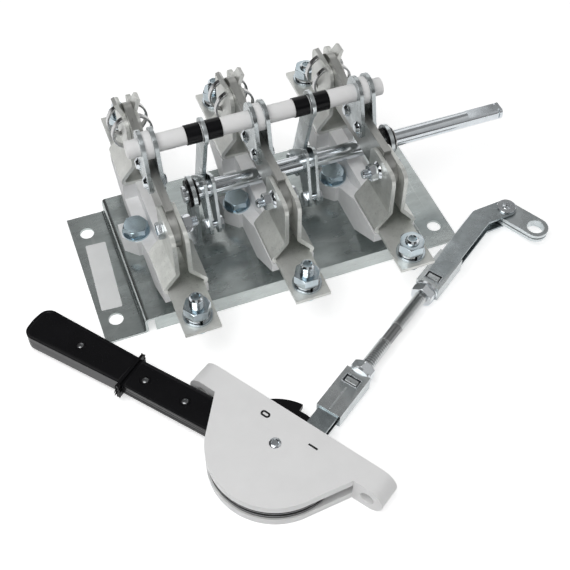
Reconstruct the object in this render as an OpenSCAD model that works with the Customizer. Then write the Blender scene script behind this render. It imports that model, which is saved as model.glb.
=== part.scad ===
// Three-pole knife disconnector on a folded base plate, with its lever drive lying in front of it.
// X runs along the drive shaft, Y to the back, Z up; the origin is the plate's centre on the floor.

/* [Base plate] */
// Distance from one pole to the next
pole_pitch = 80; // [70:1:100]
// Platform left over beyond the centre of each outer pole
pole_margin = 32; // [31:0.5:45]
// Width of each mounting flange
flange_w = 30; // [26:1:45]
// Depth of the base plate, front to back
plate_depth = 128; // [116:1:160]
// Thickness of the base sheet
plate_t = 2; // [1.5:0.5:3]
// Height of the platform's top above the floor
platform_h = 15; // [14:0.5:22]
// Radius of the bends in the base sheet, at mid-thickness
plate_bend_r = 2.5; // [2:0.5:4]
// Slit left open at each corner of the turned-down walls
corner_slit = 4; // [2:0.5:8]
// Diameter of the mounting holes
hole_d = 11; // [7:0.5:13]
// Mounting hole to the end of the plate
hole_inset_x = 12; // [9:0.5:16]
// Mounting hole to the front or rear edge
hole_inset_y = 19; // [12:0.5:30]

/* [Insulators] */
// Pole centre behind the centre of the plate
pole_shift = 5.5; // [0:0.5:8]
// Height of an insulator from the platform to the contact seat
insulator_h = 29; // [26:0.5:40]
// Width of the front block and the rear post
block_w = 32; // [26:1:36]
// Height of the foot and of the bolt ear
foot_h = 15; // [10:0.5:18]
// Half of the foot's length along the pole
foot_half = 42; // [36:1:48]
// Height of the lower edge of the overhanging noses
nose_h = 21; // [17:0.5:24]
// Distance from the pole centre to where the front slope meets the foot
slope_end = 8.5; // [4:0.5:20]
// Thickness of the web between block and post
web_t = 11; // [8:0.5:14]
// Web above the contact seat
web_rise = 1; // [0.5:0.5:3]
// Width of the raised rib on the rear post's face
rib_w = 9; // [5:0.5:14]
// Depth of the raised rib
rib_d = 2; // [1:0.5:4]
// Distance from the pole's mid-plane to the anchor bolt
anchor_x = 16.5; // [16:0.5:20]
// Distance from the pole centre back to the anchor bolt
anchor_y = 2.5; // [-6:0.5:10]
// Half of the ear's length, and its reach past the anchor bolt
ear_r = 11.5; // [10:0.5:14]
// Chamfer on the ear's front corner
ear_chamfer = 9; // [4:0.5:10]

/* [Contacts] */
// Thickness of the contact sheet
contact_t = 3; // [2:0.5:4]
// Width of the contact's seat
contact_w = 36; // [32:1:44]
// Distance from the pole centre to the inner edges of the contacts
contact_inner = 37.5; // [32:0.5:42]
// Length of a contact along the pole
contact_len = 38; // [32:0.5:46]
// Height of the neck, where the wings meet the jaws
neck_h = 18; // [14:0.5:24]
// Bend radius of the contact sheet, at mid-thickness
contact_bend_r = 3; // [2.5:0.5:4]
// Height of the front jaws above the seat
front_jaw_h = 54; // [50:0.5:64]
// Height of the rear jaws above the seat
rear_jaw_h = 59; // [54:0.5:70]
// Corner radius of the jaws
jaw_corner_r = 8; // [4:0.5:12]
// Height of the flared lead-in tips
tip_h = 8; // [5:0.5:12]
// Outward reach of the lead-in tips
tip_flare = 4; // [2:0.5:6]
// Width of a lead-in tip at its root
tip_w = 13; // [8:0.5:18]
// Share of that width taken off each side of the tip
tip_taper = 0.3; // [0.1:0.05:0.4]
// Width of a terminal tab
tab_w = 26; // [22:0.5:32]
// Length of a terminal tab beyond the jaws
tab_len = 40; // [34:1:50]
// Terminal bolt to the end of its tab
tab_inset = 13; // [11:0.5:16]

/* [Knives] */
// Thickness of a knife blade
blade_t = 6; // [4:0.5:8]
// Play between a blade and each jaw
jaw_play = 0.15; // [0.1:0.05:0.3]
// Height of the hinge above the contact seat
hinge_h = 41; // [38:0.5:46]
// Hinge to the inner edge of the front jaws
hinge_inset = 15; // [12:0.5:20]
// Blade below the hinge axis
blade_drop = 12; // [10:0.5:14]
// Blade above the hinge axis
blade_rise = 17; // [14:0.5:20]
// Blade reach past the inner edge of the rear jaws
blade_reach = 27; // [20:0.5:34]
// Rise of the blade's top edge towards its tip
blade_lift = 7; // [2:0.5:8]
// Radius of the blade's rear top corner
blade_nose_r = 14; // [6:0.5:18]
// Crossbar behind the hinge
bar_back = 49; // [44:0.5:56]
// Crossbar above the hinge
bar_up = 33; // [30:0.5:40]
// Diameter of the crossbar
bar_d = 13; // [10:0.5:16]
// Crossbar past the centre of each outer pole
bar_over = 15; // [10:0.5:25]
// Thickness of a cheek plate
cheek_t = 3; // [2:0.5:4]
// Cheek radius round the crossbar
cheek_r = 12; // [10:0.5:15]
// Distance between the two rivets of a knife
rivet_pitch = 20; // [16:0.5:26]
// Diameter of a rivet
rivet_d = 6; // [4:0.5:7]
// Rivets above the hinge axis
rivet_up = 8; // [6:0.5:9]
// Radius of a jaw spring, at its inner face
spring_r = 14; // [12.5:0.5:17]
// Thickness of a jaw spring
spring_t = 1.6; // [1:0.1:2]
// Width of a jaw spring
spring_w = 4; // [3:0.5:6]
// Distance between the two springs of a rear contact
spring_pitch = 15; // [10:0.5:20]
// Blade's lower edge above the springs
spring_gap = 1; // [0.5:0.5:2]
// Play of a spring in its window
window_play = 0.4; // [0.2:0.1:0.6]

/* [Shaft and links] */
// Diameter of the drive shaft
shaft_d = 13; // [11:0.5:14]
// Shaft axis behind the centre of the plate
shaft_y = 4; // [0:0.5:8]
// Shaft axis above the platform
shaft_h = 44; // [42:0.5:50]
// Shaft beyond the right-hand bracket
shaft_reach = 98; // [60:1:130]
// Shaft beyond the left-hand bracket
shaft_stub = 5; // [3:0.5:10]
// Length of the flatted end of the shaft
flat_len = 29.5; // [12:0.5:36]
// Shaft across its two flats
flat_w = 9.5; // [8:0.5:10.5]
// Thickness of a bearing bracket
bracket_t = 3; // [2:0.5:4]
// Half of a bracket's width
bracket_half = 14; // [11:0.5:18]
// Left bracket to its link
bracket_gap = 12; // [11:0.5:14]
// Right bracket to the centre of the right pole
bracket_over = 26; // [24:0.5:28]
// Length of a bracket's foot
bracket_foot = 9; // [6:0.5:9]
// Throw of the shaft cranks
crank_r = 24.6; // [23:0.2:26]
// Thickness of a crank plate
crank_t = 2.5; // [2:0.5:3.5]
// Reach of the crank tails below the shaft
tail_r = 30; // [26:0.5:32]
// Angle of the crank tail
tail_a = -111; // [-120:1:-95]
// Thickness of a link
link_t = 3; // [2:0.5:4]
// Width of a link
link_w = 16; // [15:0.5:17]
// Link metal round the crossbar
link_eye_wall = 3.5; // [2.5:0.5:5]
// Gap between a link and the shaft it passes behind, blades closed
link_clear = 0.75; // [0.5:0.25:1.5]
// Travel of the crank pin along its slot in the link
slot_run = 11.4; // [11.4:0.2:13]
// Link metal round the slot
slot_wall = 3.5; // [3:0.5:4]
// Diameter of the crank pin
crank_pin_d = 6; // [5:0.5:7]
// Play of the crank pin across its slot, to each side
link_play = 2.3; // [2.2:0.1:2.5]
// Side play of a link between its crank plates
link_gap = 0.5; // [0.3:0.1:1]
// Length of each black sleeve beside a link
sleeve_len = 11; // [8:0.5:14]

/* [Fasteners] */
// Diameter of the terminal and anchor bolts
bolt_d = 10; // [8:0.5:10]
// Width across flats of their heads and nuts
bolt_af = 17; // [15:0.5:18]
// Height of a bolt head
head_h = 6.5; // [5:0.5:8]
// Height of a terminal nut
nut_h = 8; // [6:0.5:9]
// Diameter of the hinge bolts
hinge_d = 7; // [6:0.5:8]
// Width across flats of the hinge bolts and their nuts
hinge_af = 11; // [10:0.5:13]
// Height of a hinge bolt's head
hinge_head_h = 4.5; // [3:0.5:6]
// Height of a hinge nut
hinge_nut_h = 5.5; // [4:0.5:7]
// Hinge bolt beyond its nut
hinge_over = 5; // [1:0.5:7]
// Diameter of a flat washer
washer_d = 21; // [19:0.5:22]
// Thickness of a flat washer
washer_t = 2; // [1.5:0.5:2.5]
// Stud above its terminal nut
stud_over = 9; // [4:0.5:16]
// Stud above its terminal nut on the right-hand pole
short_stud_over = 3; // [1:0.5:9]
// Radial clearance between a bolt and its hole
bolt_play = 0.2; // [0.1:0.05:0.4]
// Radial clearance of a running fit
run_play = 0.06; // [0.04:0.01:0.1]

/* [Drive housing] */
// Gap in plan between the lever and the left front corner of the base plate
lever_gap = 4; // [2:0.5:20]
// Gap in plan between the fork's arm and the right front corner of the base plate
fork_gap = 0.5; // [0.5:0.5:10]
// Thickness of each housing shell
shell_t = 6.5; // [5:0.5:8]
// Height of the slot between the shells
slot_h = 10; // [9.5:0.5:12]
// Pivot to the straight side of the housing
edge_dist = 25; // [24.5:0.5:28]
// Radius of the round side of the housing
housing_r = 46; // [46:0.5:52]
// Middle of the housing to the start of each mounting ear
ear_from = 56; // [54:0.5:58]
// Middle of the housing to the hole in each ear
ear_at = 67; // [66:0.5:74]
// Depth of a mounting ear
ear_d = 17.5; // [12:0.5:17.5]
// Diameter of the hole through a mounting ear
ear_hole_d = 10; // [6:0.5:12]
// Diameter of the pivot pin
pivot_d = 8; // [6:0.5:12]

/* [Lever and rotor] */
// Direction of the lever
lever_a = 128.5; // [120:0.5:140]
// Angle from the way the straight side of the housing faces to the lever
lever_swing = 95.5; // [95.5:0.5:105]
// Length of the lever from the pivot to the end of the grip
lever_len = 200; // [170:1:220]
// Length of the grip
grip_len = 84; // [60:1:100]
// Width of the lever's neck
neck_w = 24; // [18:0.5:24]
// Width of the grip at its rounded end
grip_w = 28; // [24:0.5:30]
// Width of the collar where the grip starts
collar_w = 31; // [28.5:0.5:32]
// Length of that collar
collar_len = 2; // [1.5:0.5:6]
// Height of that collar
collar_h = 13; // [12:0.5:14]
// Corner radius of the grip's end
grip_r = 6; // [4:0.5:10]
// Thickness of the lever's neck
lever_t = 9; // [8:0.5:9]
// Thickness of the grip
grip_t = 11; // [9:0.5:13]
// Radius of the rotor disc
rotor_r = 34; // [32:0.5:36]
// Radius of the rotor's shoulder beside the clevis
shoulder_r = 39.5; // [38:0.5:40]
// Radius of the rotor's rim on the round side
rim_r = 45; // [43:0.5:45.5]
// Thickness of that rim
rim_t = 8.5; // [7:0.5:9]
// Thickness of the rotor
rotor_t = 5; // [4:0.5:5]
// Radius of the clevis pin's circle
clevis_r = 26; // [24:0.5:27]
// Direction of the clevis pin from the pivot
clevis_a = 4; // [0:0.5:8]
// Diameter of the clevis pin
clevis_pin_d = 6; // [5:0.5:7]

/* [Drive rod] */
// Direction of the drive rod
rod_a = 34; // [28:0.5:36]
// Diameter of the threaded rod
rod_d = 10; // [8.5:0.5:11]
// Diameter of the plain neck in the rod
rod_neck_d = 8; // [6:0.5:8]
// Clevis to that neck
rod_neck_at = 35; // [25:1:45]
// Length of that neck
rod_neck_len = 17; // [8:1:24]
// Thickness of the clevis and fork plates
channel_t = 2; // [1.5:0.5:2.25]
// Width of the clevis and fork
channel_w = 19; // [17:0.5:19]
// Length of the clevis channel
clevis_len = 38; // [34:0.5:46]
// Clevis pin to the shoulder of the clevis
tongue_len = 20.5; // [20.5:0.5:26]
// Width of the tongues at the clevis pin
tongue_w = 15; // [12:0.5:16]
// Length of rod between clevis and fork
rod_span = 94; // [70:1:110]
// Length of the fork's box
fork_box = 36; // [32:0.5:44]
// Length of the fork's arms from the box to their bend
fork_arm = 47; // [42:0.5:56]
// Length of the arms from the bend to the fork pin
fork_tip = 23.5; // [20:0.5:30]
// Angle of the bend in the fork's arms
fork_bend = -29; // [-35:0.5:-20]
// Width of the fork's arms
arm_w = 16; // [14:0.5:18]
// Height of the clevis and fork over their two plates
channel_h = 12.5; // [12.5:0.5:14]
// Diameter of the fork pin
fork_pin_d = 7; // [5:0.5:8]
// Length of the crank, pin to shaft hole
crank_len = 27.5; // [24:0.5:36]
// Direction of the crank
crank_dir = -62; // [-75:1:-50]
// Radius of the crank's ends
crank_end_r = 10; // [9:0.5:11]
// Thickness of each crank plate
crank_plate_t = 3; // [2:0.5:3]
// Width across the flats of the rod's lock nuts
rod_nut_af = 16; // [14:0.5:17]
// Diameter of the round flange on each lock nut
rod_flange_d = 18.5; // [17.5:0.5:20]
// Height of the rod's lock nuts without the flange
rod_nut_h = 7; // [4:0.5:8]

/* [Hidden] */
$fn = 48;
hex = 6;
poles = ["left", "middle", "right"];
sides = [-1, 1];
bend_steps = 4;
eps = 0.01;
over = 1;
web_inset = 0.05;

platform_len = 2 * (pole_pitch + pole_margin);
plate_len = platform_len + 2 * flange_w;
seat_z = platform_h + insulator_h;
contact_outer = contact_inner + contact_len;
tab_end = contact_outer + tab_len;
terminal_y = tab_end - tab_inset;
jaw_gap = blade_t + 2 * jaw_play;
jaw_x = jaw_gap / 2 + contact_t / 2;
jaw_face = jaw_gap / 2 + contact_t;
bolt_hole_d = bolt_d + 2 * bolt_play;

hinge = [pole_shift - contact_inner - hinge_inset, seat_z + hinge_h];
bar = hinge + [bar_back, bar_up];
shaft = [shaft_y, platform_h + shaft_h];
// A link runs from the bar past the back of the shaft to the crank pin
link_off = shaft_d / 2 + link_clear + link_w / 2;
link_drop = shaft - bar;
link_axis = polar(1, angle_of(link_drop) + asin(link_off / norm(link_drop)));
link_len = sqrt(pow(norm(link_drop), 2) - pow(link_off, 2)) + sqrt(pow(crank_r, 2) - pow(link_off, 2));
crank_pin = bar + link_len * link_axis;
slot_end = crank_pin + slot_run * link_axis;
tail = shaft + polar(tail_r, tail_a);
blade_end = pole_shift + contact_inner + blade_reach;
rivet_line = hinge[1] + rivet_up;
rivets = [for (s = sides) [bar[0] + s * rivet_pitch / 2, rivet_line]];
spring_z = hinge[1] - blade_drop - spring_gap + spring_r;
spring_y = pole_shift + contact_inner + contact_len / 2;

link_x = pole_pitch / 2;
crank_face = link_t / 2 + link_gap;
bracket_xs = [-(link_x + bracket_gap), pole_pitch + bracket_over];
shaft_x0 = bracket_xs[0] - bracket_t / 2 - shaft_stub;
shaft_x1 = bracket_xs[1] + shaft_reach;
collar_d = shaft_d + 8;
collar_t = 2;
collar_gap = 0.2;

mid_z = shell_t + slot_h / 2;
housing_h = 2 * shell_t + slot_h;
housing_a = lever_a - lever_swing;
// The pivot lies where lever and rod both pass the plate's front corners at their gaps
lever_right = -left_of(polar(1, lever_a));
rod_left = left_of(polar(1, rod_a));
corner = [plate_len, -plate_depth] / 2;
pivot = meet(lever_right, lever_right * [-corner[0], corner[1]] - grip_w / 2 - lever_gap,
    rod_left, rod_left * (corner - polar(clevis_r, clevis_a)) - arm_w / 2 - fork_gap);
tongue_play = 0.15;
tongue_z = rotor_t / 2 + tongue_play;
tongue_h = 2 * (tongue_z + channel_t);
clevis_pin = pivot + polar(clevis_r, clevis_a);
fork_start = tongue_len + clevis_len + rod_span;
fork_elbow = fork_box + fork_arm;
fork_pin = clevis_pin + polar(fork_start + fork_elbow, rod_a) + polar(fork_tip, rod_a + fork_bend);
grip_start = lever_len - grip_len;

// Plane geometry

function polar(r, a) = [r * cos(a), r * sin(a)];
function unit(v) = v / norm(v);
function left_of(v) = [-v[1], v[0]];
function angle_of(v) = atan2(v[1], v[0]);
function turn(a, b) = (b - a + 540) % 360 - 180;

// Point p with p * u = a and p * v = b
function meet(u, a, v, b) = [a * v[1] - b * u[1], b * u[0] - a * v[0]] / (u[0] * v[1] - u[1] * v[0]);

// Points of the arc that rounds the corner b between a and c
function corner_arc(a, b, c, r) = let (
    u = unit(a - b),
    w = unit(c - b),
    half = acos(u * w) / 2,
    centre = b + unit(u + w) * r / sin(half),
    from = angle_of(b + u * r / tan(half) - centre),
    sweep = turn(from, angle_of(b + w * r / tan(half) - centre))
) [for (i = [0 : bend_steps]) centre + polar(r, from + sweep * i / bend_steps)];

// A fold line: straight runs with each inner corner bent to radius r
function fold(points, r) = [
    points[0],
    for (i = [1 : len(points) - 2]) each corner_arc(points[i - 1], points[i], points[i + 1], r),
    points[len(points) - 1]
];

// A line moved sideways by d, with mitred corners
function shifted(line, d) = let (last = len(line) - 1) [for (i = [0 : last]) let (
    before = left_of(unit(line[max(i, 1)] - line[max(i, 1) - 1])),
    after = left_of(unit(line[min(i, last - 1) + 1] - line[min(i, last - 1)])),
    mid = unit(before + after)
) line[i] + mid * d / (mid * before)];

function reversed(list) = [for (i = [len(list) - 1 : -1 : 0]) list[i]];

// Outline of a sheet of thickness t whose middle follows the fold line
function sheet_outline(line, t) = concat(shifted(line, t / 2), reversed(shifted(line, -t / 2)));

// Direction, seen from the centre of a circle, where the left-hand tangent from p touches it
function tangent_from(p, r) = angle_of(p) + acos(r / norm(p));

// The flat between two circles, bounded by their outer tangents, just inside so that outlines cross
module tangent_web(p, rp, q, rq) {
    along = angle_of(q - p);
    lean = acos((rp - rq) / norm(q - p));
    polygon([for (end = [[p, rp, 1], [p, rp, -1], [q, rq, -1], [q, rq, 1]])
        end[0] + polar(end[1] - web_inset, along + end[2] * lean)]);
}

// Two round ends joined by their outer tangents
module tapered_bar(p, rp, q, rq) {
    translate(p) circle(rp);
    translate(q) circle(rq);
    tangent_web(p, rp, q, rq);
}

// Square-cornered plate whose two upper corners are rounded
module round_topped(len, height, r) {
    square([len, height - r]);
    translate([r, 0]) square([len - 2 * r, height]);
    for (y = [r, len - r]) translate([y, height - r]) circle(r);
}

module hexagon(af) {
    circle(d = af / cos(30), $fn = hex);
}

// Placing

// Draws a side view in Y and Z and gives it a thickness along X
module side_plate(x0, t) {
    translate([x0, 0, 0]) rotate([90, 0, 90]) linear_extrude(t) children();
}

// Draws a front view in X and Z and gives it a length along Y
module front_bar(y0, length) {
    translate([0, y0 + length, 0]) rotate([90, 0, 0]) linear_extrude(length) children();
}

// A cylinder along X
module x_rod(x0, length, d) {
    translate([x0, 0, 0]) rotate([0, 90, 0]) cylinder(h = length, d = d);
}

module at_pole(i) {
    translate([(i - 1) * pole_pitch, 0, 0]) children();
}

module at_poles() {
    for (i = [0 : len(poles) - 1]) at_pole(i) children();
}

module at_axis(p) {
    translate([0, p[0], p[1]]) children();
}

module at_contact_seat(i) {
    at_pole(i) translate([0, pole_shift, seat_z]) children();
}

module at_anchor() {
    translate([-anchor_x, pole_shift + anchor_y, 0]) children();
}

// Fasteners

// Height of the turned corners, as a share of the width across flats
hex_chamfer = 0.12;

// Hexagon with its corners turned off at both ends
module hex_block(af, height) {
    chamfer = hex_chamfer * af;
    wide = af + 2 * chamfer / tan(30);
    intersection() {
        linear_extrude(height) hexagon(af);
        union() {
            cylinder(h = chamfer, d1 = af - eps, d2 = wide);
            translate([0, 0, chamfer]) cylinder(h = height - 2 * chamfer, d = wide);
            translate([0, 0, height - chamfer]) cylinder(h = chamfer, d1 = wide, d2 = af - eps);
        }
    }
}

// Nut standing on the origin, bored for a stud of diameter d
module nut(af, height, d) {
    difference() {
        hex_block(af, height);
        translate([0, 0, -over]) cylinder(h = height + 2 * over, d = d + 2 * run_play);
    }
}

// Bolt with its head below the origin and its shank upwards
module bolt(af, head, d, length) {
    translate([0, 0, -head]) hex_block(af, head);
    cylinder(h = length, d = d);
}

module ring(od, id, height) {
    difference() {
        cylinder(h = height, d = od);
        translate([0, 0, -over]) cylinder(h = height + 2 * over, d = id);
    }
}

// Base plate

module base_plate() {
    half = plate_len / 2;
    wall_x = platform_len / 2 - plate_t / 2;
    low = plate_t / 2;
    high = platform_h - plate_t / 2;
    hat = fold([[-half, low], [-wall_x, low], [-wall_x, high], [wall_x, high], [wall_x, low], [half, low]],
        plate_bend_r);
    turned = platform_len - 2 * (plate_bend_r + plate_t / 2 + corner_slit);
    color("lightslategray") difference() {
        union() {
            front_bar(-plate_depth / 2, plate_depth) polygon(sheet_outline(hat, plate_t));
            for (s = sides)
                translate([-turned / 2, s * (plate_depth - plate_t) / 2 - plate_t / 2, 0])
                    cube([turned, plate_t, high]);
        }
        for (sx = sides, sy = sides)
            translate([sx * (half - hole_inset_x), sy * (plate_depth / 2 - hole_inset_y), -over])
                cylinder(h = plate_t + 2 * over, d = hole_d);
        at_poles() at_anchor() cylinder(h = platform_h + over, d = bolt_hole_d);
    }
}

// Insulators

module insulator(i) {
    side = [[-foot_half, 0], [-contact_outer, nose_h], [-contact_outer, insulator_h],
        [-contact_inner, insulator_h], [-slope_end, foot_h], [contact_inner, foot_h],
        [contact_inner, insulator_h], [contact_outer, insulator_h], [contact_outer, nose_h], [foot_half, 0]];
    ear_x = anchor_x + ear_r;
    color("gainsboro") at_pole(i) difference() {
        translate([0, pole_shift, platform_h]) {
            side_plate(-block_w / 2, block_w) polygon(side);
            translate([-web_t / 2, -contact_inner + rib_d, foot_h - over])
                cube([web_t, 2 * contact_inner - rib_d, insulator_h - foot_h + web_rise + over]);
            translate([-rib_w / 2, contact_inner - rib_d, foot_h - over])
                cube([rib_w, rib_d + over, insulator_h - foot_h - rib_d + over]);
            translate([0, anchor_y, 0]) linear_extrude(foot_h)
                polygon([[0, -ear_r], [ear_chamfer - ear_x, -ear_r], [-ear_x, ear_chamfer - ear_r],
                    [-ear_x, ear_r], [0, ear_r]]);
        }
        at_anchor() translate([0, 0, platform_h - over]) cylinder(h = foot_h + 2 * over, d = bolt_hole_d);
    }
}

// Contacts

// Front view of a contact: seat, wings leaning in to the neck, and two jaws up to the given height
function contact_line(top, flare) = let (
    low = contact_t / 2,
    right = [[contact_w / 2, low], [jaw_x, neck_h], [jaw_x, top], [jaw_x + flare, top + tip_h]],
    used = flare > 0 ? right : [right[0], right[1], right[2]]
) concat([for (p = reversed(used)) [-p[0], p[1]]], used);

module contact_sheet(y0, length, top, flare) {
    front_bar(y0, length)
        polygon(sheet_outline(fold(contact_line(top, flare), contact_bend_r), contact_t));
}

// Folded sheet trimmed to round-cornered jaws
module contact_body(y0, top) {
    intersection() {
        contact_sheet(y0, contact_len, top, 0);
        side_plate(-contact_w, 2 * contact_w)
            translate([y0, -over]) round_topped(contact_len, top + over, jaw_corner_r);
    }
}

// Terminal tab running out from the seat to the given side, with its bolt hole
module terminal_tab(side) {
    overlap = contact_len / 2;
    difference() {
        translate([-tab_w / 2, side > 0 ? contact_outer - overlap : -tab_end, 0])
            cube([tab_w, tab_len + overlap, contact_t]);
        translate([0, side * terminal_y, -over]) cylinder(h = contact_t + 2 * over, d = bolt_hole_d);
    }
}

module front_contact(i) {
    color("silver") at_contact_seat(i) difference() {
        union() {
            contact_body(-contact_outer, front_jaw_h);
            terminal_tab(-1);
        }
        at_axis([-contact_inner - hinge_inset, hinge_h])
            x_rod(-contact_w, 2 * contact_w, hinge_d + 2 * run_play);
    }
}

// Windows that let the springs pass through the rear jaws
module spring_slots() {
    climb = spring_r - sqrt(pow(spring_r, 2) - pow(jaw_face, 2));
    width = spring_w + 2 * window_play;
    low = spring_z - seat_z - spring_r - spring_t - window_play;
    for (s = sides)
        translate([-contact_w, contact_inner + (contact_len + s * spring_pitch - width) / 2, low])
            cube([2 * contact_w, width, spring_t + climb + 2 * window_play]);
}

module rear_contact(i) {
    tip_y = contact_inner + contact_len / 2 - tip_w / 2;
    color("silver") at_contact_seat(i) difference() {
        union() {
            contact_body(contact_inner, rear_jaw_h);
            intersection() {
                contact_sheet(tip_y, tip_w, rear_jaw_h, tip_flare);
                side_plate(-contact_w, 2 * contact_w) polygon([[tip_y, rear_jaw_h - tip_h],
                    [tip_y + tip_w, rear_jaw_h - tip_h], [tip_y + tip_w, rear_jaw_h],
                    [tip_y + (1 - tip_taper) * tip_w, rear_jaw_h + 2 * tip_h],
                    [tip_y + tip_taper * tip_w, rear_jaw_h + 2 * tip_h], [tip_y, rear_jaw_h]]);
            }
            terminal_tab(1);
        }
        spring_slots();
    }
}

// Open spring rings whose ends press on the rear jaws from outside
module jaw_springs() {
    color("lightgray") at_poles() for (s = sides)
        translate([0, spring_y + s * spring_pitch / 2 + spring_w / 2, spring_z]) rotate([90, 0, 0])
            difference() {
                ring(2 * (spring_r + spring_t), 2 * spring_r, spring_w);
                translate([-jaw_face, 0, -over]) cube([2 * jaw_face, 2 * spring_r, spring_w + 2 * over]);
            }
}

// Hinges

// The left pole's bolt points the other way
function hinge_side(i) = i == 0 ? 1 : -1;
hinge_washer_h = 2;
hinge_washer_d = 2 * hinge_d;
hinge_stack = jaw_face + hinge_washer_h + hinge_nut_h;

// Places a child along the hinge axis with its Z towards the nut of that pole
module along_hinge(i) {
    at_pole(i) at_axis(hinge) rotate([0, 90 * hinge_side(i), 0]) children();
}

module hinge_bolts() {
    color("lightsteelblue") for (i = [0 : len(poles) - 1]) along_hinge(i)
        translate([0, 0, -jaw_face])
            bolt(hinge_af, hinge_head_h, hinge_d, jaw_face + hinge_stack + hinge_over);
}

// Dished washers under the hinge nuts
module hinge_washers() {
    color("silver") for (i = [0 : len(poles) - 1]) along_hinge(i) translate([0, 0, jaw_face])
        difference() {
            cylinder(h = hinge_washer_h, d1 = hinge_washer_d, d2 = hinge_af);
            translate([0, 0, -over]) cylinder(h = hinge_washer_h + 2 * over, d = hinge_d + 2 * run_play);
        }
}

module hinge_nuts() {
    color("lightsteelblue") for (i = [0 : len(poles) - 1]) along_hinge(i)
        translate([0, 0, jaw_face + hinge_washer_h]) nut(hinge_af, hinge_nut_h, hinge_d);
}

// Terminals and anchors

spring_washer_t = 2.5;
spring_washer_d = 1.8 * bolt_d;
terminal_stack = contact_t + washer_t + spring_washer_t;

module at_terminal(i, s) {
    at_contact_seat(i) translate([0, s * terminal_y, 0]) children();
}

module at_terminals() {
    for (i = [0 : len(poles) - 1], s = sides) at_terminal(i, s) children();
}

module terminal_bolts() {
    color("lightsteelblue") for (i = [0 : len(poles) - 1], s = sides) at_terminal(i, s)
        bolt(bolt_af, head_h, bolt_d, terminal_stack + nut_h + (i == 2 ? short_stud_over : stud_over));
}

module terminal_washers() {
    color("silver") at_terminals() translate([0, 0, contact_t])
        ring(washer_d, bolt_hole_d, washer_t);
}

// Split spring washers, with the slit at the front
module spring_washers() {
    slit = 2;
    color("gray") at_terminals() translate([0, 0, contact_t + washer_t]) difference() {
        ring(spring_washer_d, bolt_hole_d, spring_washer_t);
        translate([-slit / 2, -washer_d, -over]) cube([slit, washer_d, spring_washer_t + 2 * over]);
    }
}

module terminal_nuts() {
    color("lightsteelblue") at_terminals() translate([0, 0, terminal_stack]) nut(bolt_af, nut_h, bolt_d);
}

anchor_flange_t = 1.5;
anchor_nut_h = 7;
anchor_over = 1;

// Flange-headed bolts that hold the insulators to the platform
module anchor_bolts() {
    grip = foot_h + plate_t + anchor_nut_h + anchor_over;
    color("steelblue") at_poles() at_anchor() translate([0, 0, platform_h + foot_h]) {
        cylinder(h = anchor_flange_t, d = washer_d);
        translate([0, 0, anchor_flange_t]) hex_block(bolt_af, head_h);
        translate([0, 0, -grip]) cylinder(h = grip + anchor_flange_t, d = bolt_d);
    }
}

module anchor_nuts() {
    color("lightsteelblue") at_poles() at_anchor()
        translate([0, 0, platform_h - plate_t - anchor_nut_h]) nut(bolt_af, anchor_nut_h, bolt_d);
}

// Bearing brackets

bracket_taper = 1;
bracket_head_r = bracket_half - bracket_taper;

// Upright plate with a round head and a foot on the platform, turned towards the given side
module bearing_bracket(x, side) {
    touch = tangent_from([bracket_half, -shaft_h], bracket_head_r);
    color("silver") difference() {
        union() {
            side_plate(x - bracket_t / 2, bracket_t) translate(shaft) {
                circle(bracket_head_r);
                polygon([[-bracket_half, -shaft_h], [bracket_half, -shaft_h],
                    polar(bracket_head_r - web_inset, touch),
                    polar(bracket_head_r - web_inset, 180 - touch)]);
            }
            translate([side > 0 ? x : x - bracket_foot, shaft[0] - bracket_half, platform_h])
                cube([bracket_foot, 2 * bracket_half, bracket_t]);
        }
        at_axis(shaft) x_rod(x - bracket_t, 2 * bracket_t, shaft_d + 2 * run_play);
    }
}

module bearing_bracket_left() { bearing_bracket(bracket_xs[0], -1); }
module bearing_bracket_right() { bearing_bracket(bracket_xs[1], -1); }

// Knives

heel_over = 2;
lobe_wall = 5;
rivet_head_d = 1.7 * rivet_d;
rivet_head_h = 0.4 * rivet_d;
ring_inset = 2;

module knife_blade(i) {
    low = hinge[1] - blade_drop;
    high = hinge[1] + blade_rise;
    nose = [blade_end - blade_nose_r, high + blade_lift - blade_nose_r];
    bend = [bar[0] + cheek_r, high];
    touch = angle_of(bend - nose) - acos(blade_nose_r / norm(bend - nose));
    color("darkgray") at_pole(i) side_plate(-blade_t / 2, blade_t) difference() {
        union() {
            translate(hinge) circle(blade_drop + heel_over);
            polygon([[hinge[0], low], [blade_end, low], [blade_end, nose[1]], nose,
                nose + polar(blade_nose_r - web_inset, touch), bend, [hinge[0], high]]);
            translate(nose) circle(blade_nose_r);
        }
        translate(hinge) circle(d = hinge_d + 2 * run_play);
        for (r = rivets) translate(r) circle(d = rivet_d + 2 * run_play);
    }
}

// Two cheek plates a knife, riveted to its sides and carrying the crossbar
module blade_cheeks() {
    lobe_r = rivet_d / 2 + lobe_wall;
    color("silver") at_poles() for (s = sides)
        side_plate(s * (blade_t + cheek_t) / 2 - cheek_t / 2, cheek_t) difference() {
            union() {
                translate(bar) circle(cheek_r);
                for (r = rivets) {
                    translate(r) circle(lobe_r);
                    tangent_web(bar, cheek_r, r, lobe_r);
                }
                tangent_web(rivets[0], lobe_r, rivets[1], lobe_r);
            }
            translate(bar) circle(d = bar_d + 2 * run_play);
            for (r = rivets) translate(r) circle(d = rivet_d + 2 * run_play);
        }
}

module blade_rivets() {
    half = blade_t / 2 + cheek_t;
    color("lightgray") at_poles() for (r = rivets) at_axis(r) {
        x_rod(-half - eps, 2 * (half + eps), rivet_d);
        for (s = sides) translate([s * half, 0, 0]) rotate([0, 90 * s, 0])
            cylinder(h = rivet_head_h, d1 = rivet_head_d, d2 = rivet_d);
    }
}

module crossbar() {
    half = pole_pitch + bar_over;
    color("white") at_axis(bar) x_rod(-half, 2 * half, bar_d);
}

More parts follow.
